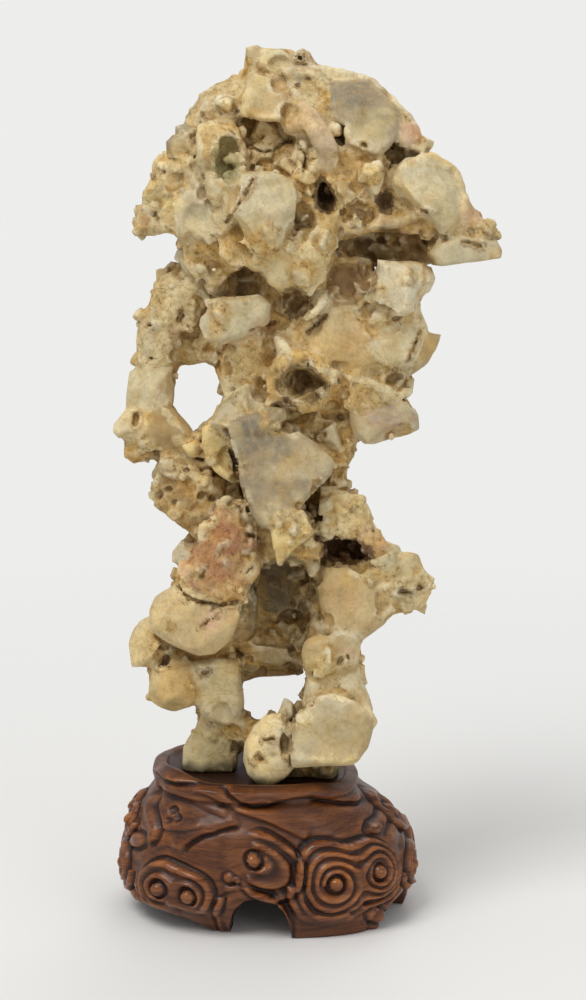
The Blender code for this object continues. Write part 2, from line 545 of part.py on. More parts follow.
def add_stand_block(bm):
    """The turned block: wall, rim, seat and the recess under it, as rings of one closed skin."""
    turns = [math.radians(-90) + 2 * math.pi * i / STAND_SEGMENTS for i in range(STAND_SEGMENTS)]
    distances, length = wall_distances(turns)
    rings = []
    for height, half_width, half_depth in reversed(HOLLOW):
        rings.append([plan_point(turn, half_width, half_depth, BODY_CENTRE, height) for turn in turns])
    for height, half_width, half_depth in WALL:
        share = min(1, max(0, (height - 35) / (RIM_START - 35)))
        centre = [body + (rim - body) * share for body, rim in zip(BODY_CENTRE, RIM_CENTRE)]
        ring = []
        for turn, distance in zip(turns, distances):
            point = plan_point(turn, half_width, half_depth, centre)
            outward = (point - Vector((*centre, 0))).normalized()
            rise = (rim_top(turn) - RIM_START) / (RIM_HEIGHT - RIM_START)
            z = height if height < RIM_START else RIM_START + (height - RIM_START) * rise
            proud = relief(distance, height, length) - tuck(turn, height)
            ring.append(point + outward * proud + Vector((0, 0, z)))
        rings.append(ring)
    rings.append([plan_point(turn, *POCKET, RIM_CENTRE, outer.z - LIP_DROP)
                  for turn, outer in zip(turns, rings[-1])])
    seat = [half - POCKET_DRAFT for half in POCKET]
    rings.append([plan_point(turn, *seat, RIM_CENTRE, SEAT_HEIGHT) for turn in turns])

    rows = [[bm.verts.new(p) for p in ring] for ring in rings]
    for low, high in zip(rows, rows[1:]):
        for i in range(STAND_SEGMENTS):
            j = (i + 1) % STAND_SEGMENTS
            bm.faces.new((low[i], low[j], high[j], high[i]))
    for ring in (rows[0], rows[-1]):
        middle = bm.verts.new(sum((v.co for v in ring), Vector()) / STAND_SEGMENTS)
        for i in range(STAND_SEGMENTS):
            bm.faces.new((ring[i], ring[(i + 1) % STAND_SEGMENTS], middle))


def add_arch(bm, direction, half_width, height):
    """A cutter for the gap between two feet, from outside the wall to the recess."""
    turn = math.radians(direction)
    out, side = Vector((math.cos(turn), math.sin(turn), 0)), Vector((-math.sin(turn), math.cos(turn), 0))
    points = []
    for reach, grow in ((24, .8), (90, 1.15)):
        for across, up in ARCH_SHAPE:
            foot = Vector((*BODY_CENTRE, 0)) + out * reach + side * across * half_width * grow
            points.append(foot + Vector((0, 0, up * height)))
    add_hull(bm, points)


def make_stand():
    bm = bmesh.new()
    add_stand_block(bm)
    stand = mesh_object("stand", bm)
    bm = bmesh.new()
    for arch in ARCHES.values():
        add_arch(bm, *arch)
    add_cut(stand, mesh_object("arches", bm), crossing=True)
    stand.data.materials.append(finish("rosewood", (.13, .045, .02), .42))
    return stand


def add_seat_block(bm):
    """A cutter shaped like the seat: it keeps the rock's feet inside the rim and on the floor."""
    turns = [2 * math.pi * i / STAND_SEGMENTS for i in range(STAND_SEGMENTS)]
    side = [half - POCKET_DRAFT - FOOT_MARGIN for half in POCKET]
    wide = [3 * half for half in POCKET]
    top = RIM_HEIGHT + FOOT_MARGIN
    rings = []
    for half, height in ((wide, SEAT_HEIGHT / 2), (wide, top), (side, top), (side, SEAT_HEIGHT + TOUCH_GAP)):
        rings.append([bm.verts.new(plan_point(turn, *half, RIM_CENTRE, height)) for turn in turns])
    for low, high in zip(rings, rings[1:]):
        for i in range(STAND_SEGMENTS):
            j = (i + 1) % STAND_SEGMENTS
            bm.faces.new((low[i], low[j], high[j], high[i]))
    bm.faces.new(rings[0])
    bm.faces.new(rings[-1])


def clear_scene():
    for obj in list(bpy.data.objects):
        bpy.data.objects.remove(obj, do_unlink=True)


def main():
    """Build both parts under an empty that puts the middle of their plan at the origin."""
    clear_scene()
    middle = bpy.data.objects.new("scholars_rock", None)
    middle.location = (AXIS_SHIFT[0] * MM, AXIS_SHIFT[1] * MM, 0)
    bpy.context.collection.objects.link(middle)
    make_rock()
    make_stand()
    for obj in bpy.data.objects:
        if obj.type == "MESH":
            obj.parent = middle


main()
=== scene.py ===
"""A scholar's rock on its carved rosewood stand.

The rock is a fine field of distances: broken stones and the cement between them, with hollows,
windows, shallow breaks, fragments and pits. The stand is a fine skin with its carving: cloud
scrolls with knobs, a rolled rim, folds and creases. Lengths are in millimetres, measured from the
stand's axis, until the meshes are written.
"""
import json
import math
import random

import bmesh
import bpy
import numpy as np
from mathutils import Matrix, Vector
from mathutils.kdtree import KDTree

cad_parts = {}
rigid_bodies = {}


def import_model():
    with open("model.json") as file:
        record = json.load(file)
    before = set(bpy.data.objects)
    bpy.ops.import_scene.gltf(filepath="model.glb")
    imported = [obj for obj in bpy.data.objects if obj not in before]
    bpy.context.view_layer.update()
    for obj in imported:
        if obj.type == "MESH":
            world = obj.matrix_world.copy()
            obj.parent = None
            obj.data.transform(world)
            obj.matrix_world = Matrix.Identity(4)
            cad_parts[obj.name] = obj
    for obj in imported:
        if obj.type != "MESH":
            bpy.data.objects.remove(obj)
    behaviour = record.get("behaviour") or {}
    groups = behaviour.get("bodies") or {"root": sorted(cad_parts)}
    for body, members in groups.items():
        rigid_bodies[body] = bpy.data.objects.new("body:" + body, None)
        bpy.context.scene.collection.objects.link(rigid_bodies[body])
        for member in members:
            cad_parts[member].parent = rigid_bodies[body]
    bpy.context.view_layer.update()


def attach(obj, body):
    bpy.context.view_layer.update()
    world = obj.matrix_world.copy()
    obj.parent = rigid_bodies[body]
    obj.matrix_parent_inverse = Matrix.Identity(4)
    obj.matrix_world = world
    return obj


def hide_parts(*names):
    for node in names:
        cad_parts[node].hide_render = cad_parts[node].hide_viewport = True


MM = 0.001
SEAT_HEIGHT = 62.5              # the floor of the stand's seat
TOUCH_GAP = 0.3                 # the rock's feet stop this far above it
RIM_HEIGHT = 70.2
POCKET = (39.4, 34.8)           # half width and half depth of the seat's mouth, inside the rim
BODY_CENTRE = (.5, -3.0)
RIM_CENTRE = (-5.0, -4.5)
SQUARENESS = 2.5                # exponent of the stand's plan: 2 is an ellipse, more is squarer
AXIS_SHIFT = (-17.0, 2.0)       # where the stand's axis stands in the frame
EYE = Vector((11.8, -1200.0, 420.0))
EYE_DIP = 11.12                 # how many degrees the eye looks down
DRAWN_AT = -25.0                # depth of the plane on which the front elevation is drawn
SEED = 7
GOLDEN_TURN = math.pi * (3 - math.sqrt(5))


def at_depth(x, z, y):
    """A corner of the front elevation, moved along its sight line to depth y."""
    reach = (y - EYE.y) / (DRAWN_AT - EYE.y)
    return Vector((EYE.x + (x - EYE.x) * reach, y, EYE.z + (z - EYE.z) * reach))


def on_elevation(x, y, z):
    """Where points are seen on the front elevation: (x, z)."""
    reach = (DRAWN_AT - EYE.y) / (y - EYE.y)
    return EYE.x + (x - EYE.x) * reach, EYE.z + (z - EYE.z) * reach


# ---- the rock's stones --------------------------------------------------------------------------
# name: (front depth, thickness, chamfer, lean in x, lean in z, corners of the front elevation)
CLASTS = {
    # crown
    "crest_knob_left": (-12, 12, 1.5, 0, 0, ((-8, 377), (-8.5, 382), (-3, 383), (-1, 380), (-3, 371),
        (-7, 371))),
    "crest_ridge": (-12, 20, 2, 0, .2, ((-4, 373), (-3, 381), (12, 381), (14, 378), (12, 371), (0, 370))),
    "crest_knob_right": (-13, 12, 1.5, 0, 0, ((12, 374), (13, 380), (20, 380.5), (21, 376), (17, 373))),
    "crest_step": (-15, 25, 2, 0, .3, ((18, 369), (20, 375), (28, 373), (38, 370), (40, 366), (25, 366))),
    "cap_slab": (-25, 30, 2, .05, .45, ((26, 366), (42, 368), (50, 362), (58, 352), (56, 345), (47, 336),
        (37, 339), (27, 354))),
    "cap_brow": (-15, 30, 3, .2, .3, ((36, 355), (38, 368.5), (45, 367.5), (49, 362), (56, 356),
        (61, 353.5), (65, 347), (45, 345))),
    "brow_pink": (-27, 20, 2, .2, .1, ((56, 341), (56, 350), (64, 349.5), (67, 341), (62, 339))),
    "crown_mass": (-25, 30, 3, 0, .4, ((5, 372), (22, 372), (27, 365), (30, 350), (24, 344), (10, 348),
        (5, 352))),
    "crown_tan": (-28, 25, 2, 0, .3, ((-4, 371), (3, 368), (9, 362), (9, 352), (-2, 351), (-9, 354),
        (-7, 362))),
    "white_ridge": (-34, 12, 2, 0, .2, ((15, 358), (20, 357), (28, 345), (31, 338), (26, 338), (18, 347),
        (13, 352))),
    # left slope of the cap
    "left_slope": (-16, 40, 3, -.1, .5, ((-5, 372), (-9, 370), (-20, 366.5), (-27, 361), (-33, 351),
        (-41, 335), (-30, 325), (-10, 345), (-4, 360))),
    "slope_pebble": (-22, 10, 2, 0, .3, ((-22, 354), (-20, 362), (-14, 362), (-12, 356), (-16, 352))),
    "slope_edge": (-17, 14, 2, 0, .3, ((-31, 350), (-36, 342), (-38, 338), (-30, 339), (-27, 348))),
    "left_lobe": (-26, 30, 3, -.2, .2, ((-44, 335), (-48, 326), (-53, 314), (-55, 308), (-55, 303),
        (-52, 302), (-36, 304), (-30, 318), (-30, 334))),
    "socket_rim": (-32, 20, 3, 0, .2, ((-27, 348), (-18, 350), (-10, 348), (-8, 338), (-12, 328),
        (-20, 325), (-27, 330))),
    # right of the cap
    "right_boulder": (-34, 45, 6, .25, .15, ((58, 316), (52, 325), (57, 334), (68, 338), (78, 333),
        (83, 324), (84, 305), (79, 300), (70, 305))),
    "crust_lump": (-27, 16, 2, .2, 0, ((82, 306), (82, 319), (85, 319), (90, 312), (90, 308))),
    "crust": (-26, 18, 2, .1, 0, ((84, 301), (86, 311), (92, 310), (97, 307), (100, 303), (92, 299))),
    "spike": (-30, 22, 1.5, .1, 0, ((72, 295), (75, 300), (84, 302), (99, 301), (101.5, 297), (101, 293),
        (86, 292.5), (74, 290.5))),
    # middle of the cap
    "centre_boulder": (-46, 30, 2.5, .1, .1, ((-8, 327), (-3, 330), (5, 330), (12, 326), (14, 318),
        (13, 308), (8, 299), (0, 297), (-8, 303), (-13, 312), (-12, 320))),
    "tan_band": (-38, 22, 2, 0, .1, ((-25, 330), (-18, 326), (-10, 327), (-5, 330), (-10, 318), (-16, 308),
        (-20, 318))),
    "left_grey": (-34, 20, 2.5, -.1, .15, ((-28, 328), (-21, 318), (-19, 305), (-20, 300), (-28, 299),
        (-36, 301), (-38, 308), (-35, 316))),
    "left_tan": (-28, 22, 2, 0, -.1, ((-36, 300), (-20, 299), (-15, 290), (-17, 280), (-22, 277),
        (-30, 283), (-35, 288))),
    "pale_strip": (-32, 20, 2, 0, 0, ((-20, 300), (-12, 302), (-10, 295), (-14, 288), (-18, 292))),
    "beard": (-39, 28, 3, 0, -.25, ((-13, 301), (28, 300), (28, 288), (17, 274.5), (2, 286))),
    "chin_fill": (-34, 24, 3, 0, .1, ((-22, 314), (-10, 314), (-4, 300), (-6, 290), (-16, 287),
        (-23, 296))),
    "underbrow_wall": (-9, 30, 2, 0, 0, ((36, 304), (74, 305), (77, 294), (67, 291), (48, 290), (36, 292))),
    "centre_matrix": (-31, 30, 3, .05, .1, ((14, 345), (36, 340), (47, 336), (54, 325), (50, 306),
        (28, 299), (14, 300), (8, 325))),
    "chip_tan": (-36, 14, 1.5, 0, 0, ((30, 325), (38, 325), (41, 318), (38, 314), (31, 315))),
    "chip_white": (-36, 14, 1.5, 0, 0, ((40, 333), (48, 335), (51, 330), (49, 322), (46, 316), (43, 322),
        (41, 328))),
    "band": (-33, 16, 2, .1, 0, ((43, 306), (45, 314), (60, 314), (62, 308), (55, 304))),
    "band_lump": (-30, 14, 2, .2, 0, ((58, 303), (58, 312), (68, 312), (69, 304))),
    # neck
    "neck_wall": (-14, 20, 2, 0, 0, ((-14, 298), (0, 290), (16, 276), (13, 268), (0, 264), (-10, 264),
        (-15, 275))),
    "neck_front": (-25, 26, 3, 0, 0, ((-14, 262), (0, 266), (16, 268), (18, 250), (4, 252), (0, 236),
        (-14, 238), (-18, 250))),
    "log": (-38, 36, 3, 0, 0, ((-30, 272), (-26, 275), (-18, 275), (-15, 270), (-15, 262), (-22, 257),
        (-28, 258), (-31, 264))),
    "column_web": (-12, 24, 3, 0, 0, ((-24, 286), (-14, 288), (-8, 262), (-14, 240), (-20, 246), (-25, 250),
        (-36, 249), (-41, 256), (-33, 268))),
    "window_right": (-22, 26, 3, 0, 0, ((-19, 252), (-10, 252), (-8, 232), (-14, 220), (-24, 217),
        (-27, 221), (-18, 236))),
    "smooth_body": (-30, 34, 6, .15, .1, ((17, 265), (26, 276), (38, 278), (46, 268), (58, 262), (59, 250),
        (50, 243), (30, 245), (17, 250))),
    "bone": (-36, 26, 3, 0, 0, ((47, 293), (66, 290), (66, 278), (64, 270), (58, 268), (50, 268), (45, 272),
        (47, 280))),
    "bone_knob": (-31, 18, 2.5, 0, 0, ((62, 291), (70, 289), (72, 285), (70, 279), (62, 277))),
    "bone_chip": (-24, 14, 2, 0, 0, ((54, 270), (60, 273), (65, 273), (69, 264), (66, 258), (55, 260))),
    "right_arm": (-24, 26, 3, .1, 0, ((60, 259), (70, 261), (75, 261), (72, 254), (69, 249), (62, 244),
        (58, 250))),
    "ridge_band": (-28, 24, 2, 0, .1, ((25, 247), (57, 246), (61, 245), (60.5, 234), (57, 231), (30, 228),
        (25, 236))),
    "right_block": (-29, 28, 3, .05, .05, ((36, 229), (45, 233), (50, 232), (57, 234), (62, 233), (65, 226),
        (66, 220), (62, 218), (50, 216), (42, 213), (38, 218))),
    "hole_rim": (-36, 24, 3, .05, 0, ((0, 238), (4, 250), (14, 254), (27, 251), (31, 240), (26, 229),
        (12, 226), (2, 230))),
    "white_fragment": (-34, 10, 1.5, 0, 0, ((4, 260), (8, 258), (12, 250), (8, 249), (5, 254))),
    "cream_flake": (-36, 12, 1.5, 0, 0, ((13, 268), (20, 272), (27, 277), (25, 273), (18, 266))),
    # the arch round the upper window
    "column_top": (-20, 25, 3, 0, 0, ((-47, 285), (-36, 286), (-30, 290), (-22, 285), (-25, 272),
        (-32, 262), (-42, 262), (-49, 272))),
    "column_mid": (-18, 24, 3, 0, 0, ((-54, 270), (-48, 273), (-38, 262), (-38, 250), (-42, 245),
        (-54, 246), (-54, 255))),
    "column_low": (-18, 22, 3, 0, 0, ((-58, 245), (-50, 248), (-39, 246), (-38, 232), (-42, 225),
        (-59, 222), (-59, 235))),
    "elbow": (-22, 22, 2.5, 0, 0, ((-66.5, 222), (-62, 227), (-53, 229), (-50, 222), (-55, 216), (-64, 216),
        (-66.5, 219))),
    "arch_tan": (-20, 24, 3, 0, 0, ((-50, 228), (-42, 232), (-36, 226), (-30, 218), (-30, 208), (-45, 210),
        (-54, 216))),
    "arch_foot": (-18, 20, 2, 0, 0, ((-60.5, 214), (-53, 217), (-45, 214), (-44, 207), (-50, 206),
        (-57, 204.5), (-61, 208))),
    "window_lump": (-5, 12, 2, 0, 0, ((-37, 226), (-32, 226.5), (-29, 225), (-26, 218), (-30, 212),
        (-38, 213))),
    # the great slab and the waist
    "slab_edge": (-31, 20, 1.5, 0, 0, ((-27, 220), (-22, 224), (-17, 222), (-13, 208), (-10, 197),
        (-14, 196), (-22, 202), (-27, 212))),
    "slab_top": (-38, 26, 2, .25, .45, ((-24, 222), (-18, 231), (-11, 236.5), (0, 236), (6, 226),
        (-15, 218))),
    "great_slab": (-43, 22, 1.5, .14, .12, ((-18, 222), (-5, 227), (8, 222), (20, 215), (30, 206),
        (28, 200), (10, 182), (3, 177), (-2, 177), (-8, 187))),
    "waist_right": (-22, 30, 3, .1, 0, ((20, 230), (38, 228), (39.5, 213), (35, 207), (31, 203), (31, 196),
        (28, 190), (20, 195))),
    "shoulder": (-32, 26, 3, .1, 0, ((24, 195), (36, 193.5), (43, 191), (45.5, 184), (46, 176), (35, 170),
        (24, 175))),
    "shoulder_pink": (-30, 22, 2.5, .1, 0, ((36, 176), (46, 178), (51, 172), (55, 165), (48, 162),
        (40, 165))),
    "arm_top": (-28, 24, 3, .1, 0, ((53, 164), (58, 166), (66, 165), (68, 160), (66, 155), (50, 152),
        (42, 155), (44, 162))),
    "arm_end": (-26, 24, 3, .1, 0, ((66, 159), (70, 157.5), (75, 154), (74, 151), (70, 142), (66, 140),
        (52, 137.5), (48, 150))),
    "left_brown": (-20, 26, 3, 0, 0, ((-46, 206), (-36, 210), (-25, 203), (-18, 192), (-24, 180),
        (-31, 174), (-41, 182), (-49, 187), (-50, 196))),
    "grey_stub": (-12, 20, 2, 0, 0, ((-30, 175), (-36, 171), (-40, 166), (-40.5, 162), (-33, 160),
        (-28, 163))),
    "red_boulder": (-43, 30, 4, 0, .1, ((-20, 190), (-12, 190), (-5, 180), (-3, 165), (-3, 157), (-8, 146),
        (-10, 143), (-28, 146), (-38, 150), (-34, 160), (-26, 175))),
    "slab_root": (-31, 30, 3, 0, 0, ((-8, 190), (14, 188), (24, 178), (23, 164), (14, 158), (0, 158),
        (-6, 168))),
    # the cave and the lower window
    "cave_left": (-14, 24, 2, 0, 0, ((-16, 152), (-4, 152), (-5, 128), (-16, 124))),
    "cave_wall": (5, 18, 2, 0, 0, ((-8, 174), (25, 172), (24, 135), (10, 124), (-8, 124))),
    "cave_pebble": (-30, 12, 2, 0, 0, ((12, 163), (20, 165), (22, 160), (20, 155), (13, 154))),
    "plate_front": (-8, 18, 2, 0, 0, ((-10, 126), (0, 125), (15, 123), (18, 118), (10, 114), (-8, 118))),
    "plate_back": (0, 16, 2, 0, 0, ((-11, 120), (-2, 122), (16, 119), (18, 112), (10, 109), (-5, 108),
        (-11, 107))),
    # the left leg
    "pale_boulder": (-45, 35, 3, 0, .1, ((-48, 146), (-40, 151), (-14, 144), (-11, 138), (-16, 127),
        (-22, 121), (-30, 120), (-40, 124), (-49, 131), (-50, 140))),
    "left_stub": (-20, 22, 2.5, 0, 0, ((-58, 132), (-55, 136), (-49, 139), (-44, 124), (-48, 118),
        (-54, 115), (-59, 114), (-60, 125))),
    "stub_web": (-14, 20, 2, 0, 0, ((-50, 134), (-34, 134), (-26, 118), (-34, 114), (-46, 114),
        (-50, 122))),
    "left_leg_top": (-22, 26, 3, 0, 0, ((-33, 118), (-12, 118), (-11, 108), (-10, 98), (-14, 88), (-28, 92),
        (-28, 100), (-32, 108))),
    "left_leg_low": (-12, 26, 3, 0, 0, ((-28, 92), (-14, 90), (-12, 84), (-14, 62), (-36, 62), (-36.5, 78),
        (-32, 86))),
    # the right leg
    "right_leg_top": (-28, 25, 3, .1, 0, ((22, 160), (40, 160), (50, 152), (55, 139), (51, 134), (42, 127),
        (28, 130), (22, 145))),
    "right_leg_mid": (-34, 26, 3, .1, 0, ((17, 127), (25, 130), (33, 131), (41, 128), (40.5, 115),
        (33, 110), (18, 112), (15, 120))),
    "right_leg_low": (-29, 26, 3, .1, 0, ((18, 112), (40, 114), (42, 105), (45, 98), (47, 95), (30, 92),
        (16, 96), (17, 104))),
    "foot_slab": (-43, 24, 2, .08, .08, ((18, 98), (27, 101), (38, 98), (45, 92), (47, 88), (45, 78),
        (41, 72), (38, 70), (12, 70), (11, 78), (13, 90))),
    "foot_knob": (-34, 10, 2, 0, 0, ((44, 95), (47, 94), (49, 90), (47, 86), (44, 88))),
    "foot_centre": (-36, 26, 1.6, 0, 0, ((-5, 88), (0, 93), (8, 94), (12, 95), (12, 70), (8, 64), (0, 60),
        (-3, 61), (-8, 66), (-10, 72), (-9, 80))),
    "foot_right": (-23, 16, 2, 0, 0, ((26, 72), (37, 72), (36.5, 64), (35, 58), (28, 58))),
    "foot_back": (-19, 22, 1, 0, 0, ((8, 58), (8, 74), (35, 74), (33, 58))),
}

# Roots of the crest and the beard, sides of the log and the body, crystals under the great slab.
SMALL_CLASTS = {
    "log_side": (-37, 16, 3, .1, 0, ((-24, 275), (-12, 277), (-3, 278), (3, 274), (1, 266), (-10, 259),
        (-22, 257))),
    "body_side": (-30, 20, 3, .1, .1, ((43, 272), (56, 269), (67, 259), (62, 248), (50, 246), (41, 256))),
    "body_top": (-28, 20, 3, .1, .15, ((24, 297), (45, 293), (46, 278), (38, 268), (24, 270), (19, 280))),
    "beard_root": (-40, 24, 3, 0, .1, ((-8, 306), (10, 309), (30, 308), (32, 298), (18, 292), (-4, 292))),
    "crystal_a": (-47, 12, .8, 0, .15, ((3, 180), (9, 182), (15, 178), (14, 170), (10, 165), (6.5, 159.5),
        (5, 160), (3, 168))),
    "crystal_b": (-46, 10, .8, .1, 0, ((11, 181), (17, 181), (20.5, 176), (20, 172), (15.5, 168.5),
        (12, 171))),
    "crystal_c": (-44, 10, .8, 0, 0, ((2, 181), (6, 184), (13, 184), (18, 182), (16, 177), (4, 176))),
    "crest_root": (-10, 16, 3, 0, 0, ((-8, 376), (4, 376), (4, 364), (-9, 364))),
}

# How far the back of a slanting stone lies from its drawn front: (x, z).
DRIFTS = {"log": (28, 4), "bone": (2, 3), "arm_end": (-4, 0), "elbow": (6, 0), "spike": (-8, 2)}

# Limbs of cement that carry the stones: (x, y, z, radius) of each joint of a limb.
LIMBS = {
    "cap": ((-38, 0, 322, 12), (0, 0, 328, 27), (62, -2, 320, 21)),
    "crown": ((-8, 2, 352, 14), (12, 2, 354, 19), (36, 2, 348, 18)),
    "neck": ((10, 0, 305, 26), (22, 0, 255, 23)),
    "trunk": ((22, 0, 255, 23), (8, 0, 205, 21)),
    "left_arch": ((-22, -4, 288, 11), (-40, -6, 275, 9), (-46, -6, 245, 8), (-51, -10, 224, 8),
        (-46, -8, 212, 8), (-32, -6, 200, 10), (-14, -4, 205, 13)),
    "right_arm": ((40, -8, 256, 14), (62, -12, 252, 8)),
    "left_root": ((8, 2, 205, 21), (-14, -2, 175, 16), (-27, -6, 140, 16), (-21, 0, 116, 11),
        (-21, 2, 92, 9), (-23, 2, 72, 11)),
    "right_root": ((16, 2, 200, 19), (33, -4, 165, 13), (33, -6, 148, 14), (29, -8, 120, 12.5),
        (28, -11, 95, 14), (27, -14, 72, 13)),
    "low_arm": ((44, -14, 156, 8), (62, -14, 152, 7)),
    "bridge": ((-14, 4, 124, 6), (20, 4, 120, 7)),
    "sill": ((-14, -8, 84, 7), (12, -20, 82, 9)),
    "lobe": ((-40.5, -15, 107, 11), (-41, -15, 103.5, 12.3)),
}

# Stones on the sides and the back: (x, y, z, half width, half depth, half height).
BACK_STONES = {
    "back_crown": (16, 23, 352, 22, 20, 18), "back_cap_left": (-26, 23, 327, 19, 18, 17), "back_cap_mid":
    (14, 32, 323, 23, 16, 20), "back_cap_right": (54, 24, 327, 22, 20, 18), "back_cap_edge":
    (74, 4, 312, 13, 16, 13), "back_left_edge": (-44, 0, 312, 10, 14, 10), "back_neck":
    (8, 19, 290, 20, 14, 16), "back_neck_right": (38, 13, 276, 16, 15, 15), "back_bone":
    (54, 4, 272, 13, 15, 10), "back_spine": (24, 25, 256, 17, 12, 18), "back_trunk":
    (20, 23, 234, 20, 14, 18), "back_trunk_low": (4, 16, 208, 19, 13, 17), "back_spine_low":
    (-4, 23, 184, 15, 11, 15), "back_arm": (52, 4, 246, 13, 13, 12), "back_arch": (-46, 6, 262, 8, 9, 16),
    "back_arch_low": (-42, 6, 210, 13, 10, 10), "back_waist": (25, 14, 205, 12, 15, 15), "back_left_root":
    (-20, 18, 170, 17, 15, 16), "back_left_boulder": (-31, 10, 139, 14, 15, 13), "back_left_leg":
    (-20, 13, 106, 9, 13, 17), "back_left_foot": (-24, 10, 72, 11, 15, 15), "back_right_root":
    (34, 14, 172, 15, 14, 14), "back_right_leg": (34, 10, 136, 13, 14, 17), "back_right_low":
    (30, 8, 104, 12, 13, 15), "back_right_foot": (21, 8, 78, 15, 17, 20), "back_sill":
    (0, 14, 72, 14, 12, 11), "back_bridge": (4, 20, 134, 16, 10, 13), "back_low_arm":
    (58, -4, 152, 12, 10, 9),
}

# Hollows: (x, y, z, half width, half depth, half height).
HOLLOWS = {
    "temple": (36, -39, 285, 11, 19, 13), "chin": (11, -34, 274, 8, 17, 8), "eye":
    (15, -43, 241, 11.6, 21, 9), "red_mouth": (34, -32, 166, 13, 30, 6.5), "cave":
    (8, -30, 148, 16, 38, 16), "cave_low": (5, -24, 134, 13, 24, 9), "ear": (51, -36, 318, 3.5, 12, 4.5),
    "underbrow": (55, -34, 299, 10, 16, 4.5), "socket": (-16, -34, 336, 5, 10, 8.5), "dish":
    (-28, -41.5, 311, 13, 9, 18), "slot": (25, -36, 320, 3.4, 18, 7),
}

# Windows that go right through, drawn in the front elevation.
WINDOWS = {
    "upper": ((-34, 247), (-26, 249), (-21.5, 247), (-19.5, 239), (-17, 234), (-21, 227), (-26, 221.5),
        (-30, 217), (-40, 230), (-39, 238), (-37, 244)),
    "lower": ((-10, 108.5), (-5, 110), (10, 110.5), (13, 111), (16, 109), (17, 105), (14.5, 100), (9, 97.5),
        (2, 94.5), (-3, 91.5), (-7, 96.5), (-10, 101)),
    "arch_notch": ((-44, 294), (-38.5, 296), (-37.5, 291), (-40, 288), (-45, 287.5)),
    "cap_slit": ((-30, 337.2), (-28.6, 337.4), (-28, 336.2), (-28.8, 334.8), (-30, 335)),
}


# ---- what the stones look like -------------------------------------------------------------------
# Colour of each kind of stone, of the cement, of what gathers in the hollows and of the painted shade in the
# hollows and under overhangs (linear RGB).
PALETTE = {
    "cream": (.74, .63, .39), "pale": (.64, .56, .36), "white": (.80, .72, .52), "grey": (.325, .262, .17),
    "stone": (.52, .44, .28), "tan": (.57, .43, .22), "blush": (.64, .49, .32), "ochre": (.62, .42, .16),
    "yellow": (.72, .57, .25), "pink": (.62, .40, .26), "red": (.40, .19, .105), "amber": (.42, .29, .13),
    "brown": (.28, .165, .068), "umber": (.15, .09, .036), "dark": (.06, .03, .012), "maroon":
    (.075, .022, .012), "olive": (.40, .35, .17), "slate": (.21, .185, .14), "mauve": (.42, .32, .24),
    "drab": (.235, .20, .115),
}
TONES = {
    "cream": "crest_knob_left crest_ridge left_lobe band_lump column_top column_mid elbow crown_mass"
        " crest_step crest_root cream_flake arm_end left_leg_top left_leg_low foot_centre foot_right"
        " waist_right slab_root shoulder chin_fill foot_knob beard",
    "pink": "crest_knob_right brow_pink crust_lump shoulder_pink",
    "pale": "body_side log_side right_boulder slope_edge spike centre_boulder pale_strip column_low"
        " window_lump plate_front left_stub stub_web",
    "grey": "cap_slab great_slab",
    "stone": "cap_brow right_block left_grey log slab_top foot_slab",
    "white": "slope_pebble chip_white bone bone_knob bone_chip white_fragment right_leg_low grey_stub"
        " left_slope crust",
    "blush": "white_ridge",
    "tan": "crown_tan tan_band left_tan band smooth_body ridge_band arm_top pale_boulder right_arm"
        " right_leg_top right_leg_mid window_right body_top",
    "ochre": "socket_rim beard_root neck_front hole_rim arch_foot",
    "amber": "chip_tan centre_matrix column_web arch_tan left_brown cave_pebble",
    "yellow": "slab_edge crystal_a crystal_b crystal_c",
    "red": "red_boulder",
    # the brown and umber stones lie under overhangs, behind the feet and at the back of the cave: their dark
    # tone is painted shade
    "brown": "plate_back foot_back",
    "umber": "underbrow_wall neck_wall cave_left cave_wall",
}
# Stones that are porous and uneven all over, like the cement.
POROUS = (
    "crown_mass socket_rim centre_matrix neck_front column_web window_right hole_rim slab_root"
    " red_boulder left_slope left_tan column_top column_mid left_brown crust crest_knob_right shoulder"
    " waist_right ridge_band left_lobe arch_foot shoulder_pink arm_end chin_fill crest_root stub_web"
).split()
# Stones that keep their broad flat faces.
SMOOTH = (
    "great_slab cap_slab foot_slab right_block log bone spike slab_edge underbrow_wall cave_wall slab_top"
    " crystal_a crystal_b crystal_c log_side body_top body_side"
).split()
# What stones of the back, the rubble and the grit may be, and how often.
MIXED = (("cream", 5), ("pale", 4), ("white", 3), ("tan", 4), ("grey", 3), ("ochre", 3), ("pink", 1))
MIXED_TONES = [tone for tone, share in MIXED for i in range(share)]
# Tone inside the hollows, strongest where they are deepest: dark painted shade in most of them, olive in the
# socket and pale in the dish.
HOLLOW_SHADE_TONES = {
    "chin": "umber", "cave_low": "drab", "temple": "brown", "eye": "umber", "red_mouth": "maroon",
    "cave": "drab", "ear": "dark", "underbrow": "dark", "socket": "olive", "dish": "pale", "slot": "dark",
}
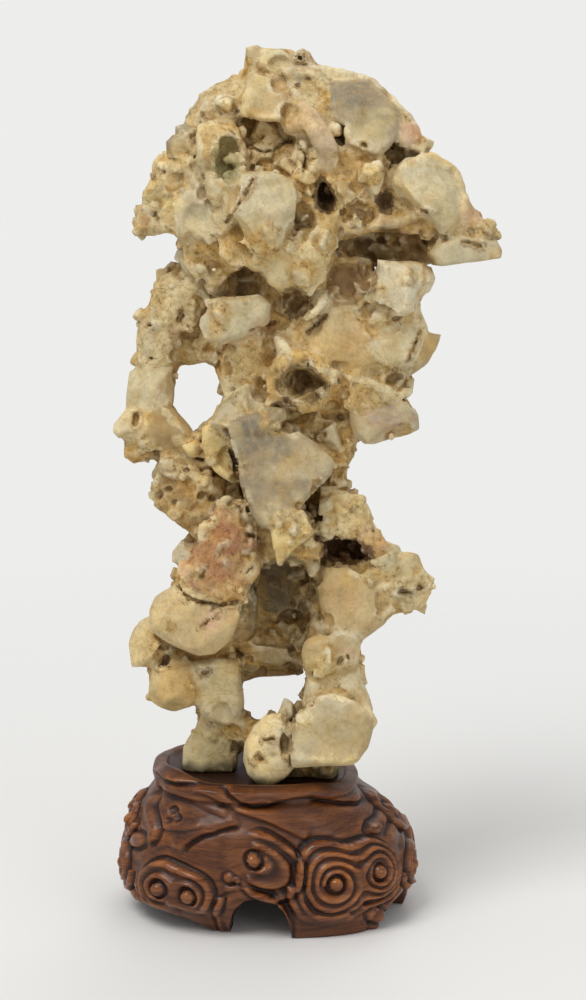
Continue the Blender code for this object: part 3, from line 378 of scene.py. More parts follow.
# Stains: (x, z, radius on the front elevation, tone, strength). The dark ones in the cave, the chin, the
# temple, the eye, the ear, the slot, the socket and under the brow are painted shade.
STAINS_AND_SHADE = (
    (-20, 168, 15, "red", .7), (-10, 172, 9, "red", .8), (-24, 134, 8, "pink", .8),
    (31, 146, 8, "pink", .5), (36, 120, 5, "pink", .8), (62, 345, 6, "pink", .7), (87, 313, 6, "pink", .7),
    (16, 377, 7, "pink", .7), (40, 262, 9, "pink", .35), (-2, 262, 8, "pink", .4),
    (-36, 262, 8, "pink", .3), (26, 318, 9, "olive", .6), (76, 314, 9, "olive", .25),
    (45, 350, 12, "olive", .35), (0, 344, 9, "olive", .4), (-17, 338, 9, "brown", .8),
    (-40, 196, 10, "brown", .55), (14, 230, 9, "yellow", .6), (10, 168, 9, "yellow", .8),
    (-24, 212, 7, "yellow", .4), (20, 305, 7, "yellow", .5), (8, 362, 7, "pink", .3),
    (52, 332, 5, "brown", .6), (62, 302, 9, "brown", .7), (20, 98, 3, "pink", .7), (45, 172, 8, "pink", .5),
    (-4, 370, 8, "yellow", .4), (-48, 318, 7, "yellow", .5), (3, 378, 4, "yellow", .6),
    (61, 323, 4, "yellow", .6), (-38, 316, 5, "yellow", .6), (-54, 213, 4, "yellow", .6),
    (25, 357, 4, "ochre", .7), (38, 337, 7, "ochre", .6), (45, 264, 6, "ochre", .5),
    (-13, 303, 3, "ochre", .7), (-3, 302, 3, "ochre", .6), (33, 208, 4, "ochre", .7),
    (3, 236, 5, "ochre", .6), (20, 227, 7, "ochre", .6), (-48, 211, 4, "amber", .7),
    (59, 353, 4, "ochre", .7), (62, 334, 3, "ochre", .6), (50, 312, 4, "pink", .6),
    (12, 336, 5, "pink", .5), (3, 309, 6, "pink", .35), (-5, 220, 6, "grey", .6), (5, 208, 6, "blush", .4),
    (-28, 320, 8, "grey", .25), (-40, 238, 6, "amber", .6), (35, 152, 6, "ochre", .5),
    (33, 148, 3, "olive", .6), (22, 113, 8, "yellow", .55), (16, 118, 5, "yellow", .5),
    (-14, 116, 6, "ochre", .4), (-45, 104, 6, "ochre", .4), (-42, 97, 6, "olive", .4),
    (60, 155, 6, "olive", .35), (-12, 130, 6, "amber", .6), (0, 70, 5, "yellow", .35),
    # the dark spots in the cave, the chin, the temple, under the brow, the eye, the slot, the ear and the
    # socket are painted shade
    (6, 158, 12, "umber", .8), (6, 143, 13, "drab", .8), (2, 133, 7, "umber", .6),
    (10, 274, 7, "umber", .85), (-4, 285, 7, "drab", .6), (38, 289, 11, "brown", .9),
    (36, 281, 7, "brown", .6), (52, 301, 8, "umber", .9), (-26, 78, 11, "yellow", .5),
    (-20, 106, 9, "yellow", .35), (14, 242, 9, "umber", .7), (25, 320, 4, "maroon", .9),
    (51, 318, 5, "dark", .9), (-15, 334, 6, "brown", .6), (-6, 219, 9, "slate", .75),
    (5, 211, 8, "slate", .5), (-11, 206, 5, "slate", .6), (25, 204, 7, "pale", .6),
    (4, 183, 8, "pale", .55), (15, 191, 6, "pale", .5), (33, 360, 8, "slate", .6), (50, 352, 8, "pale", .4),
    (42, 344, 6, "pale", .4), (52, 224, 11, "mauve", .7), (2, 318, 9, "white", .3),
    (66, 324, 9, "white", .35), (30, 88, 10, "stone", .4), (28, 73, 7, "cream", .6),
    (4, 300, 9, "cream", .4), (18, 205, 7, "amber", .3), (-32, 122, 8, "amber", .5),
    (37, 72, 4, "yellow", .4), (-50, 310, 5, "pink", .4), (4, 78, 5, "brown", .7),
    (-34, 300, 5, "brown", .5), (36, 340, 7, "ochre", .7),
)

# Stones stuck on the front: (x, z, half width, half height, tone).
PEBBLES = (
    (-4, 344, 2.5, 2.5, "white"), (3, 345, 4, 3, "white"), (11, 371, 4, 3, "cream"),
    (12, 362, 3, 3, "white"), (-16, 357, 3, 3, "white"), (15, 301, 3.3, 4.8, "white"),
    (25, 301, 6, 4.5, "cream"), (16, 327, 5, 3, "cream"), (61, 296, 6.5, 5, "amber"),
    (93, 305, 3, 3, "cream"), (98, 303, 2.5, 2.5, "cream"), (15, 288, 5, 4, "stone"),
    (-37, 258, 2, 3.5, "white"), (-31, 220, 2, 5, "pale"), (60, 241, 2.5, 3.5, "cream"),
    (27, 219, 4, 5, "pale"), (34, 228, 3, 3, "cream"), (-26, 252, 3, 2, "stone"),
    (-32, 212, 3, 3, "yellow"), (-8, 157, 1.6, 2.4, "white"), (26, 188, 4, 3, "stone"),
    (20.5, 168.5, 1.2, 2, "white"), (46, 155, 4, 3, "stone"), (57, 148, 2.5, 2.5, "stone"),
    (16, 158, 4, 6, "stone"), (26, 117, 4, 4, "pale"), (35, 117, 2, 2.2, "white"), (15, 91, 2, 3, "white"),
    (-23, 83, 3, 2.5, "pale"), (18, 92, 2.5, 3, "pale"),
)
# Holes in the front: (x, z, half width, half height, tone). Their dark walls are partly staining and partly
# painted shade.
HOLES = (
    (-6, 342, 1.5, 1.5, "umber"), (-15, 332, 2, 1.5, "umber"), (-42, 330, 1.2, 1, "brown"),
    (-46, 311, 1.8, 2.2, "brown"), (41.5, 341, 1.8, 1.8, "brown"), (40, 313, 1.3, 1.8, "brown"),
    (32.5, 305, 1, 1.2, "brown"), (55, 342, 1.8, 1, "brown"), (52, 332, 1, 1.4, "brown"),
    (67, 313, 2, 1, "umber"), (76, 302, 1.3, 1.3, "umber"), (87, 304, 1.5, 2, "umber"),
    (-27, 284, 1.8, 2, "dark"), (-29, 296, 1.2, 1, "brown"), (-50, 265, 1.6, 1, "brown"),
    (-36, 268, 1.4, 1.8, "brown"), (-49, 251, 1.4, 1, "brown"), (-38, 253, 2.5, 3, "brown"),
    (-55, 224, 1.8, 3, "brown"), (-13, 237, 1, 1, "umber"), (-12, 355, 1.2, 1, "brown"),
    (-26, 354, 1, 1.4, "brown"), (13, 366, 1.6, 1, "brown"), (18, 369, 1.6, 1.2, "brown"),
    (15, 375, 2.5, 1.2, "maroon"), (19, 341, 1.4, 1.2, "brown"), (56, 268, 1.4, 1, "brown"),
    (35, 235, 1.1, 1.3, "brown"), (9, 232, 2, 1.5, "maroon"), (11, 240, 1.5, 1.5, "umber"),
    (24, 217, 1.4, 1.6, "brown"), (32, 225, 1.4, 1.2, "brown"), (55, 241.5, 3.5, 2.2, "umber"),
    (-42, 193.5, 1.6, 1.2, "dark"), (-46, 191, 2.2, 2, "amber"), (-27, 191, 2, 2, "umber"),
    (-22, 189, 2.4, 1.8, "umber"), (-34, 202, 1.2, 1, "brown"), (-39, 188, 1.2, 1, "brown"),
    (-15.5, 187.5, 1.4, 1, "umber"), (-33.5, 144.5, 1.4, 1, "dark"), (-22, 140.5, 1.4, 1.1, "maroon"),
    (60, 148.5, 3.4, 1.3, "dark"), (49, 139, 1.2, 1, "brown"), (12, 144, 1.4, 2, "dark"),
    (14, 186, 1.6, 1.6, "brown"), (21.5, 194, 2, 3, "brown"), (-45, 124, 2.4, 1.4, "umber"),
    (-44, 117, 1, 2.2, "umber"), (-27, 112.5, 1.4, 1.2, "umber"), (32, 117, 1.4, 1.8, "maroon"),
    (36, 119, 1, 1.4, "brown"), (9.5, 115.5, 1.6, 1, "dark"), (-3.5, 74, 2, 2, "umber"),
    (8.5, 78, 2, 5.5, "umber"), (1, 81.5, 2.5, 1, "brown"), (47, 175, 1.2, 1, "dark"),
    (67, 150, 1.8, 1, "brown"),
)
# Cracks in the front: (width, tone, corners).
CRACKS = (
    (1.7, "brown", ((-8, 341), (-4, 339.5), (0, 338), (5, 340), (9, 342.5), (12, 343))),
    (1.7, "umber", ((14, 342), (17, 337), (16, 330))),
    (1.6, "brown", ((-5, 327), (-8, 321), (-12, 315), (-16, 309))),
    (1.6, "brown", ((13.5, 309), (12.5, 304), (11.5, 301))),
    (1.6, "maroon", ((83, 300.5), (87, 300), (91, 298.5))),
    (1.8, "umber", ((26, 269), (22, 265), (18, 262))),
    (1.6, "red", ((-6, 263), (0, 264.5), (4, 266))),
    (1.6, "brown", ((66, 262), (64, 257), (61, 250))),
    (2.4, "brown", ((-17, 220), (-15, 213), (-13, 205))),
    (2.6, "umber", ((-13, 205), (-11.5, 197), (-9, 190), (-7, 184))),
    (1.6, "umber", ((-12, 187), (-10, 184))),
    (2.4, "umber", ((-8, 174), (-4, 172.5))),
    (1.8, "brown", ((-38, 151), (-35, 147), (-30, 144.5), (-20, 142.5), (-12, 144))),
    (1.5, "brown", ((-28, 155), (-26.5, 158))),
    (1.5, "umber", ((-8.5, 156.5), (-6, 159.5))),
    (1.6, "red", ((21, 100), (20, 97))),
    (1.3, "maroon", ((-20, 140), (-22, 137), (-25, 135.5), (-28, 132.5))),
    (1.8, "brown", ((11, 84), (11.2, 76), (10.5, 71))),
    (1.6, "brown", ((-48, 129), (-45, 126))),
)
# Pale ridges of the front: (radius, tone, corners).
CRESTS = (
    (1.9, "cream", ((-5, 372), (-7, 362), (-8, 355), (-13, 352), (-20, 350), (-27, 347))),
    (3.2, "cream", ((-27, 346), (-26, 335), (-22, 324), (-19, 312), (-15, 303), (-8, 294), (2, 286),
        (13, 277))),
    (1.5, "cream", ((-29, 327), (-34, 320), (-37, 311), (-35, 302))),
    (3.0, "blush", ((8, 347), (14, 350), (20, 354))),
    (3.2, "blush", ((16, 358), (22, 346), (25, 338), (27, 330))),
    (1.9, "white", ((30, 372), (45, 367), (55, 358), (62, 350))),
    (1.8, "cream", ((-47, 272), (-49, 260), (-50, 246), (-48, 236), (-44, 228), (-36, 219))),
    (1.6, "cream", ((-44, 205), (-36, 203), (-27, 198), (-20, 190))),
    (1.6, "pale", ((-24, 118), (-15, 116), (-13, 106), (-14, 96), (-10, 88))),
    (1.6, "cream", ((40, 307), (52, 307.5), (60, 310), (68, 313.5))),
    (1.8, "cream", ((54, 320), (55, 328), (60, 333), (70, 336), (80, 331), (84, 320), (84, 306))),
    (1.5, "cream", ((13, 268), (20, 273), (26, 277))),
    (1.5, "cream", ((24, 245.5), (33, 244), (45, 240), (57, 234))),
    (1.2, "white", ((5, 260), (9, 254), (12, 249))),
    (1.3, "tan", ((-4, 328), (-9, 318), (-16, 307))),
    (1.3, "white", ((60, 291), (60, 272))),
    (1.5, "white", ((45, 274), (52, 270), (58, 270.5))),
    (1.4, "cream", ((-28, 172), (-26, 180), (-22, 187), (-14, 190))),
    (1.6, "white", ((12, 133), (20, 134), (30, 130), (38, 128))),
    (1.3, "cream", ((-12, 186), (-8, 181), (-7, 176))),
    (1.4, "pale", ((13, 74), (22, 73), (34, 72), (40, 74))),
    (1.4, "cream", ((17, 98), (27, 101), (38, 98), (45, 92))),
)
# Scoops out of the front: (x, z, half size, depth).
SCOOPS = (
    (1, 360, 8, 2.2), (-15, 340, 5, 3), (-14, 328.5, 4, 3), (-22, 336, 5, 1.6), (-29, 309, 7, 2.4),
    (-14, 320, 5, 1.4), (-38, 326, 4, 1.2), (-9, 297, 5, 1.8), (-36, 128, 9, 1.6), (0, 117, 7, 1),
    (-24, 138, 8, 2), (-38, 140, 6, 1.2),
)


STEP = .8                       # size of the field's cells
FIELD_LOW, FIELD_HIGH = (-72, -62, 58), (108, 56, 388)
FIELD_CAP = 6.0                 # distances beyond this aren't kept
FILLET = 2.4                    # cement rounds the corner between two stones over this much
FILL_REACH, FILL_DROP, FILL_BLEND = 4.0, .3, 4.0    # cement fills gaps this wide, this far under the faces
RIDGE_BLEND = 3                 # how far a pale ridge is eased into what it lies on
RUBBLE_STEP = 5.0               # one small stone to this length of a limb
CHIPS, CHIP, BACK_CHIP, RUBBLE_CHIP = 9, 1.8, 6, 1.5   # corners struck off a stone, and how deep
# Shallow dishes broken out of the surface: (how many, radius from, radius to, depth).
DISHES = ((260, 13, 24, 1.8), (950, 6, 13, 1.4), (260, 3, 5, .6))
CHUNKS, SHARDS, GRIT, PITS = 300, 560, 220, 120     # fragments and pits spread over the surface
CRYSTALS = 18
ROCK_CUTS = (133, 200, 265)     # heights at which the skin is split into pieces
CROWN_CUT = 16                  # where the top piece is split across
FOOT_CLEARANCE = 1.8            # between the feet and the seat's wall
# painted contact shade at the foot of the rock, near black
FOOT_SHADE = (.055, .045, .018)


# ---- numbers on grids ----------------------------------------------------------------------------
CORNERS = [(dx, dy, dz) for dx in (0, 1) for dy in (0, 1) for dz in (0, 1)]


def ease(value, start, end):
    """0 at start, 1 at end, smooth between them."""
    t = np.clip((value - start) / (end - start), 0, 1)
    return t * t * (3 - 2 * t)


def soft_min(a, b, width, dip=1):
    """The lower of two fields, eased into each other where they are close."""
    share = np.clip(.5 + .5 * (a - b) / width, 0, 1)
    return a * (1 - share) + b * share - width * share * (1 - share) * dip


def apart(axis, shift):
    """Slices of the cells ahead and of the cells behind, some cells apart along an axis."""
    ahead, behind = [slice(None)] * 3, [slice(None)] * 3
    ahead[axis], behind[axis] = slice(shift, None), slice(None, -shift)
    return tuple(ahead), tuple(behind)


def box_blur(grid, axis, width):
    """Mean over width cells each side along one axis."""
    padded = np.concatenate([np.repeat(np.take(grid, [0], axis), width + 1, axis), grid,
                             np.repeat(np.take(grid, [-1], axis), width, axis)], axis)
    total = np.cumsum(padded, axis, dtype=np.float64)
    size = 2 * width + 1
    high = np.take(total, range(size, total.shape[axis]), axis)
    low = np.take(total, range(0, total.shape[axis] - size), axis)
    return ((high - low) / size).astype(np.float32)


def eight_corners(base, share, read):
    """Mean of the eight cells round each place, weighed by how near they are."""
    total = np.zeros(len(base), np.float32)
    for dx, dy, dz in CORNERS:
        weight = np.abs(1 - dx - share[:, 0]) * np.abs(1 - dy - share[:, 1]) * np.abs(1 - dz - share[:, 2])
        total += weight * read(base[:, 0] + dx, base[:, 1] + dy, base[:, 2] + dz)
    return total


def sample(grid, field, points):
    """Read the grid at the points, eased between its cells."""
    q = np.clip((points - field.low) / STEP, 0, np.array(grid.shape) - 1.001)
    base = q.astype(int)
    return eight_corners(base, (q - base).astype(np.float32), lambda i, j, k: grid[i, j, k])


def pick(grid, field, points):
    """Read the grid's nearest cell at the points."""
    q = np.clip(np.rint((points - field.low) / STEP).astype(int), 0, np.array(grid.shape) - 1)
    return grid[q[:, 0], q[:, 1], q[:, 2]]


def lattice(points, cell, seed):
    """Smooth noise from -1 to 1 with bumps of one size."""
    n = 32
    table = np.random.default_rng(seed).uniform(-1, 1, (n, n, n)).astype(np.float32)
    q = points / cell + seed * 1.37
    base = np.floor(q).astype(int)
    share = ease((q - base).astype(np.float32), 0, 1)
    return eight_corners(base, share, lambda i, j, k: table[i % n, j % n, k % n])


def layered(points, cell, seed, layers=3):
    """Noise with finer and finer bumps."""
    return sum(lattice(points, cell / 2 ** i, seed + i) / 2 ** i for i in range(layers))


def surface_net(grid, low):
    """A closed skin of quads where the grid crosses zero."""
    inside = grid < 0
    shape = tuple(n - 1 for n in grid.shape)
    count = np.zeros(shape, np.uint8)
    for dx, dy, dz in CORNERS:
        count += inside[dx:dx + shape[0], dy:dy + shape[1], dz:dz + shape[2]]
    active = (count > 0) & (count < 8)
    cells = np.argwhere(active)
    index = np.full(shape, -1, np.int32)
    index[active] = np.arange(len(cells))
    total, hits = np.zeros((len(cells), 3)), np.zeros(len(cells))
    for start in CORNERS:
        for axis in range(3):
            if start[axis]:
                continue
            step = np.eye(3)[axis]
            a = grid[tuple((cells + start).T)]
            b = grid[tuple((cells + start + step.astype(int)).T)]
            cross = (a < 0) != (b < 0)
            share = np.where(cross, a / np.where(cross, a - b, 1), 0)
            total[cross] += (np.array(start, float) + step * share[:, None])[cross]
            hits += cross
    points = low + STEP * (cells + total / hits[:, None])
    quads = []
    for axis in range(3):
        u, v = (axis + 1) % 3, (axis + 2) % 3
        ahead, behind = apart(axis, 1)
        spot = np.argwhere(inside[behind] != inside[ahead])
        spot = spot[(spot[:, u] > 0) & (spot[:, v] > 0) & (spot[:, u] < shape[u]) & (spot[:, v] < shape[v])]
        du, dv = np.eye(3, dtype=int)[u], np.eye(3, dtype=int)[v]
        cells_around = (spot - du - dv, spot - dv, spot, spot - du)
        around = np.stack([index[tuple(cell.T)] for cell in cells_around], axis=1)
        quads.append(np.where(inside[tuple(spot.T)][:, None], around, around[:, ::-1]))
    return points, np.concatenate(quads)


# ---- meshes --------------------------------------------------------------------------------------
def to_frame(points):
    """From millimetres about the stand's axis to metres in the frame."""
    return (points + np.array((*AXIS_SHIFT, 0))) * MM


def mesh_from_arrays(name, points, *faces):
    """A mesh from points in millimetres and arrays of faces, each with its own number of corners."""
    mesh = bpy.data.meshes.new(name)
    mesh.vertices.add(len(points))
    mesh.vertices.foreach_set("co", to_frame(points).astype(np.float32).ravel())
    loops = np.concatenate([rows.ravel() for rows in faces])
    sizes = np.concatenate([np.full(len(rows), rows.shape[1]) for rows in faces])
    mesh.loops.add(len(loops))
    mesh.loops.foreach_set("vertex_index", loops.astype(np.int32))
    mesh.polygons.add(len(sizes))
    mesh.polygons.foreach_set("loop_start", (np.cumsum(sizes) - sizes).astype(np.int32))
    mesh.update(calc_edges=True)
    return mesh


def vertex_normals(points, quads):
    """Smooth normals of a mesh of quads."""
    face = np.cross(points[quads[:, 2]] - points[quads[:, 0]], points[quads[:, 3]] - points[quads[:, 1]])
    normals = np.zeros_like(points)
    for i in range(4):
        np.add.at(normals, quads[:, i], face)
    return normals / np.maximum(np.linalg.norm(normals, axis=1), 1e-9)[:, None]


def paint(mesh, name, rgb):
    """Keep a colour at each vertex."""
    layer = mesh.color_attributes.new(name, "FLOAT_COLOR", "POINT")
    rgba = np.ones((len(mesh.vertices), 4), np.float32)
    rgba[:, :3] = rgb
    layer.data.foreach_set("color", rgba.ravel())


def add_object(name, data):
    """An object in the scene."""
    made = bpy.data.objects.new(name, data)
    bpy.context.scene.collection.objects.link(made)
    return made


def add_piece(name, mesh, material, node):
    """An object that rides on the one body and stands for a node, shown with its material."""
    mesh.polygons.foreach_set("use_smooth", np.full(len(mesh.polygons), True))
    mesh.materials.clear()
    mesh.materials.append(material)
    piece = add_object(name, mesh)
    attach(piece, "root")
    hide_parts(node)


# ---- stones as clouds of corners -----------------------------------------------------------------
def ball_directions(count):
    """Directions spread evenly over a ball, as (height, radius of its ring, turn)."""
    for i in range(count):
        height = 1 - 2 * (i + .5) / count
        yield height, math.sqrt(1 - height * height), i * GOLDEN_TURN


def clast_points(rng, front, thickness, chamfer, lean_x, lean_z, corners, drift=(0, 0)):
    """A broken stone: its drawn outline, a smaller face in front of it and a smaller back."""
    mid_x = sum(x for x, z in corners) / len(corners)
    mid_z = sum(z for x, z in corners) / len(corners)
    points = []
    for x, z in corners:
        face = front + lean_x * (x - mid_x) + lean_z * (z - mid_z) + chamfer * rng.uniform(0, .5)
        spread = math.hypot(x - mid_x, z - mid_z)
        for inset, depth in ((chamfer * rng.uniform(.7, 1.4), 0), (0, chamfer * rng.uniform(.9, 1.6)),
                             (spread * .12, thickness * .65), (spread * .45, thickness)):
            keep = 1 - min(.9, inset / spread)
            slide = depth / thickness
            points.append(at_depth(mid_x + (x - mid_x) * keep + drift[0] * slide,
                                   mid_z + (z - mid_z) * keep + drift[1] * slide, face + depth))
    return points


def stone_points(rng, x, y, z, half_x, half_y, half_z, corners=16):
    """A rough stone: corners scattered on an ellipsoid."""
    points = []
    for height, ring, turn in ball_directions(corners):
        turn += rng.uniform(-.4, .4)
        size = rng.uniform(.85, 1.1)
        points.append(Vector((x + half_x * ring * math.cos(turn) * size,
                              y + half_y * ring * math.sin(turn) * size, z + half_z * height * size)))
    return points


def limb_points(rng, start, end):
    """A limb of cement between two joints: the corners of two balls."""
    points = []
    for x, y, z, radius in (start, end):
        for height, ring, turn in ball_directions(24):
            outward = Vector((ring * math.cos(turn), ring * math.sin(turn), height))
            points.append(Vector((x, y, z)) + radius * rng.uniform(.88, 1.06) * outward)
    return points


def rubble_points(rng, joints):
    """Smaller stones stuck all over the back and the sides of a limb."""
    stones = []
    for start, end in zip(joints, joints[1:]):
        a, b = Vector(start[:3]), Vector(end[:3])
        for i in range(max(2, round((b - a).length / RUBBLE_STEP))):
            share = rng.random()
            radius = start[3] + (end[3] - start[3]) * share
            turn = rng.uniform(.1, .9) * math.pi
            lift = rng.uniform(-.5, .5)
            spot = a.lerp(b, share) + Vector((math.cos(turn) * .72, math.sin(turn), lift)) * radius * .9
            size = rng.uniform(.3, .55) * radius
            halves = [size * rng.uniform(.7, 1.1), size * rng.uniform(.7, 1.1), size * rng.uniform(.6, 1.2)]
            stones.append(stone_points(rng, *spot, *halves, corners=10))
    return stones


def hull_faces(points):
    """The convex hull of the points: its planes as (normal, offset), its low and its high corner."""
    bm = bmesh.new()
    made = bmesh.ops.convex_hull(bm, input=[bm.verts.new(p) for p in points], use_existing_faces=False)
    loose = {v for v in made["geom_interior"] + made["geom_unused"] if isinstance(v, bmesh.types.BMVert)}
    bmesh.ops.delete(bm, geom=list(loose), context="VERTS")
    bmesh.ops.recalc_face_normals(bm, faces=bm.faces)
    rows = {}
    for face in bm.faces:
        n, offset = face.normal, face.normal.dot(face.verts[0].co)
        rows[(round(n.x, 2), round(n.y, 2), round(n.z, 2), round(offset, 1))] = (n.x, n.y, n.z, offset)
    cloud = np.array([tuple(v.co) for v in bm.verts])
    bm.free()
    return np.array(list(rows.values())), cloud.min(axis=0), cloud.max(axis=0)


def knapped(rng, points, faces, depth, front_only):
    """The planes again, with a few more that chip the stone's corners off."""
    cloud = np.array([tuple(p) for p in points])
    extra = []
    for i in range(CHIPS):
        n = Vector((rng.gauss(0, 1), rng.gauss(0, 1), rng.gauss(0, 1)))
        if front_only:
            n.y = -abs(n.y) - .6
        n.normalize()
        extra.append((*n, float((cloud @ np.array(n)).max()) - depth * rng.uniform(.4, 1.2)))
    return np.vstack([faces, extra])


# ---- the field -----------------------------------------------------------------------------------
class Field:
    """Distances to the nearest and the second nearest stone, and which stone is nearest."""

    def __init__(self):
        self.low = np.array(FIELD_LOW, float)
        self.count = np.ceil((np.array(FIELD_HIGH) - self.low) / STEP).astype(int) + 1
        self.axes = [self.low[i] + STEP * np.arange(self.count[i]) for i in range(3)]
        self.near = np.full(self.count, FIELD_CAP, np.float32)
        self.second = np.full(self.count, FIELD_CAP, np.float32)
        self.owner = np.full(self.count, -1, np.int16)
        self.cuts = np.full(self.count, -1, np.int8)
        self.tones, self.rough = [], []

    def new_owner(self, tone, porous):
        """Note a stone's tone and how porous it is, and number it."""
        self.tones.append(tone)
        self.rough.append(porous)
        return len(self.tones) - 1

    def window(self, low, high, margin):
        """The cells between two corners, and a margin round them."""
        start = np.clip(np.floor((low - margin - self.low) / STEP).astype(int), 0, self.count - 1)
        stop = np.clip(np.ceil((high + margin - self.low) / STEP).astype(int) + 1, 1, self.count)
        return tuple(slice(a, b) for a, b in zip(start, stop))

    def planes(self, part, faces):
        """Distance to a convex body in one window of the field."""
        x, y, z = (self.axes[i][part[i]].astype(np.float32) for i in range(3))
        best = None
        for nx, ny, nz, offset in faces.astype(np.float32):
            gap = (nx * x)[:, None, None] + (ny * y)[None, :, None] + (nz * z - offset)[None, None, :]
            best = gap if best is None else np.maximum(best, gap, out=best)
        return best

    def reach(self, part, middle, halves=(1, 1, 1)):
        """Distance from a point in one window of the field, in half sizes along each axis."""
        x, y, z = (((self.axes[i][part[i]] - middle[i]) / halves[i]) ** 2 for i in range(3))
        return np.sqrt(x[:, None, None] + y[None, :, None] + z[None, None, :])

    def add(self, gap, part, name):
        near, second, owner = self.near[part], self.second[part], self.owner[part]
        closer = gap < near
        second[...] = np.where(closer, near, np.minimum(second, gap))
        owner[closer] = name
        near[closer] = gap[closer]

    def add_hull(self, points, name, rng, chip, front_only):
        """A convex stone with its corners chipped."""
        faces, low, high = hull_faces(points)
        if chip:
            faces = knapped(rng, points, faces, chip, front_only)
        part = self.window(low, high, FIELD_CAP)
        self.add(self.planes(part, faces), part, name)

    def cut_hull(self, points, name):
        """Take a convex body away, and note where its wall is."""
        faces, low, high = hull_faces(points)
        part = self.window(low, high, FIELD_CAP)
        gap, near = self.planes(part, faces), self.near[part]
        self.cuts[part][-gap > near - 1.2] = name
        near[...] = np.maximum(near, -gap)

    def add_shard(self, chooser, spot, size, name):
        """A small angular fragment."""
        sides = 11
        turns = np.arange(sides) * GOLDEN_TURN + chooser.uniform(0, 6) + chooser.uniform(-.5, .5, sides)
        height = 1 - 2 * (np.arange(sides) + .5) / sides
        ring = np.sqrt(1 - height ** 2)
        normals = np.stack([ring * np.cos(turns), ring * np.sin(turns), height], axis=1)
        normals = normals[:, chooser.permutation(3)]
        offsets = size * chooser.uniform(.45, 1, sides)
        offsets *= 1 + .5 * np.abs(normals @ chooser.normal(0, .7, 3))
        part = self.window(spot, spot, size * 1.7 + 2.5)
        self.add(self.planes(part, np.column_stack([normals, offsets + normals @ spot])), part, name)

    def add_egg(self, spot, halves, name, pit_wall=None):
        """A small rounded stone, or a small pit where the thickness of its stained wall is given."""
        part = self.window(spot, spot, halves.max() + 2.5)
        gap = ((self.reach(part, spot, halves) - 1) * halves.min()).astype(np.float32)
        if pit_wall is None:
            self.add(gap, part, name)
            return
        near = self.near[part]
        self.owner[part][-gap > near - pit_wall] = name
        near[...] = np.maximum(near, -gap)

    def add_ridge(self, spots, radius, name):
        """A rounded ridge along the spots, thin at its ends, eased into what it lies on."""
        if len(spots) < 2:
            return
        spots = np.array(spots)
        spots[1:-1] = (spots[:-2] + 2 * spots[1:-1] + spots[2:]) / 4
        part = self.window(spots.min(axis=0), spots.max(axis=0), radius + 4)
        gap = 99.0
        for i, spot in enumerate(spots):
            taper = min(1, .45 + i * .15, .45 + (len(spots) - 1 - i) * .15)
            thick = radius * (.75 + .25 * math.sin(i * .9) * math.sin(i * .37 + 1)) * taper
            gap = np.minimum(gap, self.reach(part, spot + (0, radius * .35, 0)) - thick)
        near = self.near[part]
        self.owner[part][gap < near + .3] = name
        near[...] = soft_min(gap, near, RIDGE_BLEND)

    def dish(self, floor, spot, outward, radius, depth):
        """Break a shallow dish out of the surface, nowhere deeper than the floor field."""
        rim = math.sqrt(2 * radius * depth)
        part = self.window(spot, spot, rim + STEP)
        ball = radius - self.reach(part, spot + outward * (radius - depth))
        close = (rim - self.reach(part, spot)) * .7
        near = self.near[part]
        near[...] = np.maximum(near, np.minimum(np.minimum(ball, close), floor[part]))

    def thickness(self):
        """Depth of the deepest cell within about 6 mm of each cell."""
        deep = self.near
        for axis in range(3):
            least = deep.copy()
            for shift in range(1, int(6 / STEP) + 1):
                ahead, behind = apart(axis, shift)
                least[behind] = np.minimum(least[behind], deep[ahead])
                least[ahead] = np.minimum(least[ahead], deep[behind])
            deep = least
        return -deep

    def fuse(self):
        """Cement rounds the corners between the stones."""
        near, second = self.near, self.second
        rounded = np.maximum(soft_min(second, near, FILLET), near - FILLET / 4)
        self.near = np.where(near > second - FILLET, rounded, near).astype(np.float32)

    def fill_gaps(self, name):
        """Cement between the stones: a smoothed copy of them all, a little lower than their faces."""
        soft = np.clip(self.near, -4, 4)
        for axis in range(3):
            for turn in range(2):
                soft = box_blur(soft, axis, round(FILL_REACH / STEP))
        soft += FILL_DROP
        filled = soft < self.near - .3
        self.second = np.where(filled, np.minimum(self.second, np.abs(self.near)), self.second)
        self.owner[filled & (self.near < 3.5)] = name
        self.near = soft_min(soft, self.near, FILL_BLEND, .8)

    def slope(self, spots):
        """Outward direction of the surface at cells of the field."""
        step = []
        for axis in range(3):
            ahead, behind = spots.copy(), spots.copy()
            ahead[:, axis] = np.minimum(ahead[:, axis] + 1, self.count[axis] - 1)
            behind[:, axis] = np.maximum(behind[:, axis] - 1, 0)
            step.append(self.near[tuple(ahead.T)] - self.near[tuple(behind.T)])
        out = np.stack(step, axis=1)
        return out / np.maximum(np.linalg.norm(out, axis=1), 1e-6)[:, None]

    def face_point(self, x, z):
        """Where the sight line through (x, z) of the front elevation first meets the rock, or None."""
        depths = np.arange(FIELD_LOW[1] + 1, 45, STEP / 2)
        inside = sample(self.near, self, np.array([at_depth(x, z, y) for y in depths])) < 0
        return np.array(at_depth(x, z, depths[inside.argmax()])) if inside.any() else None


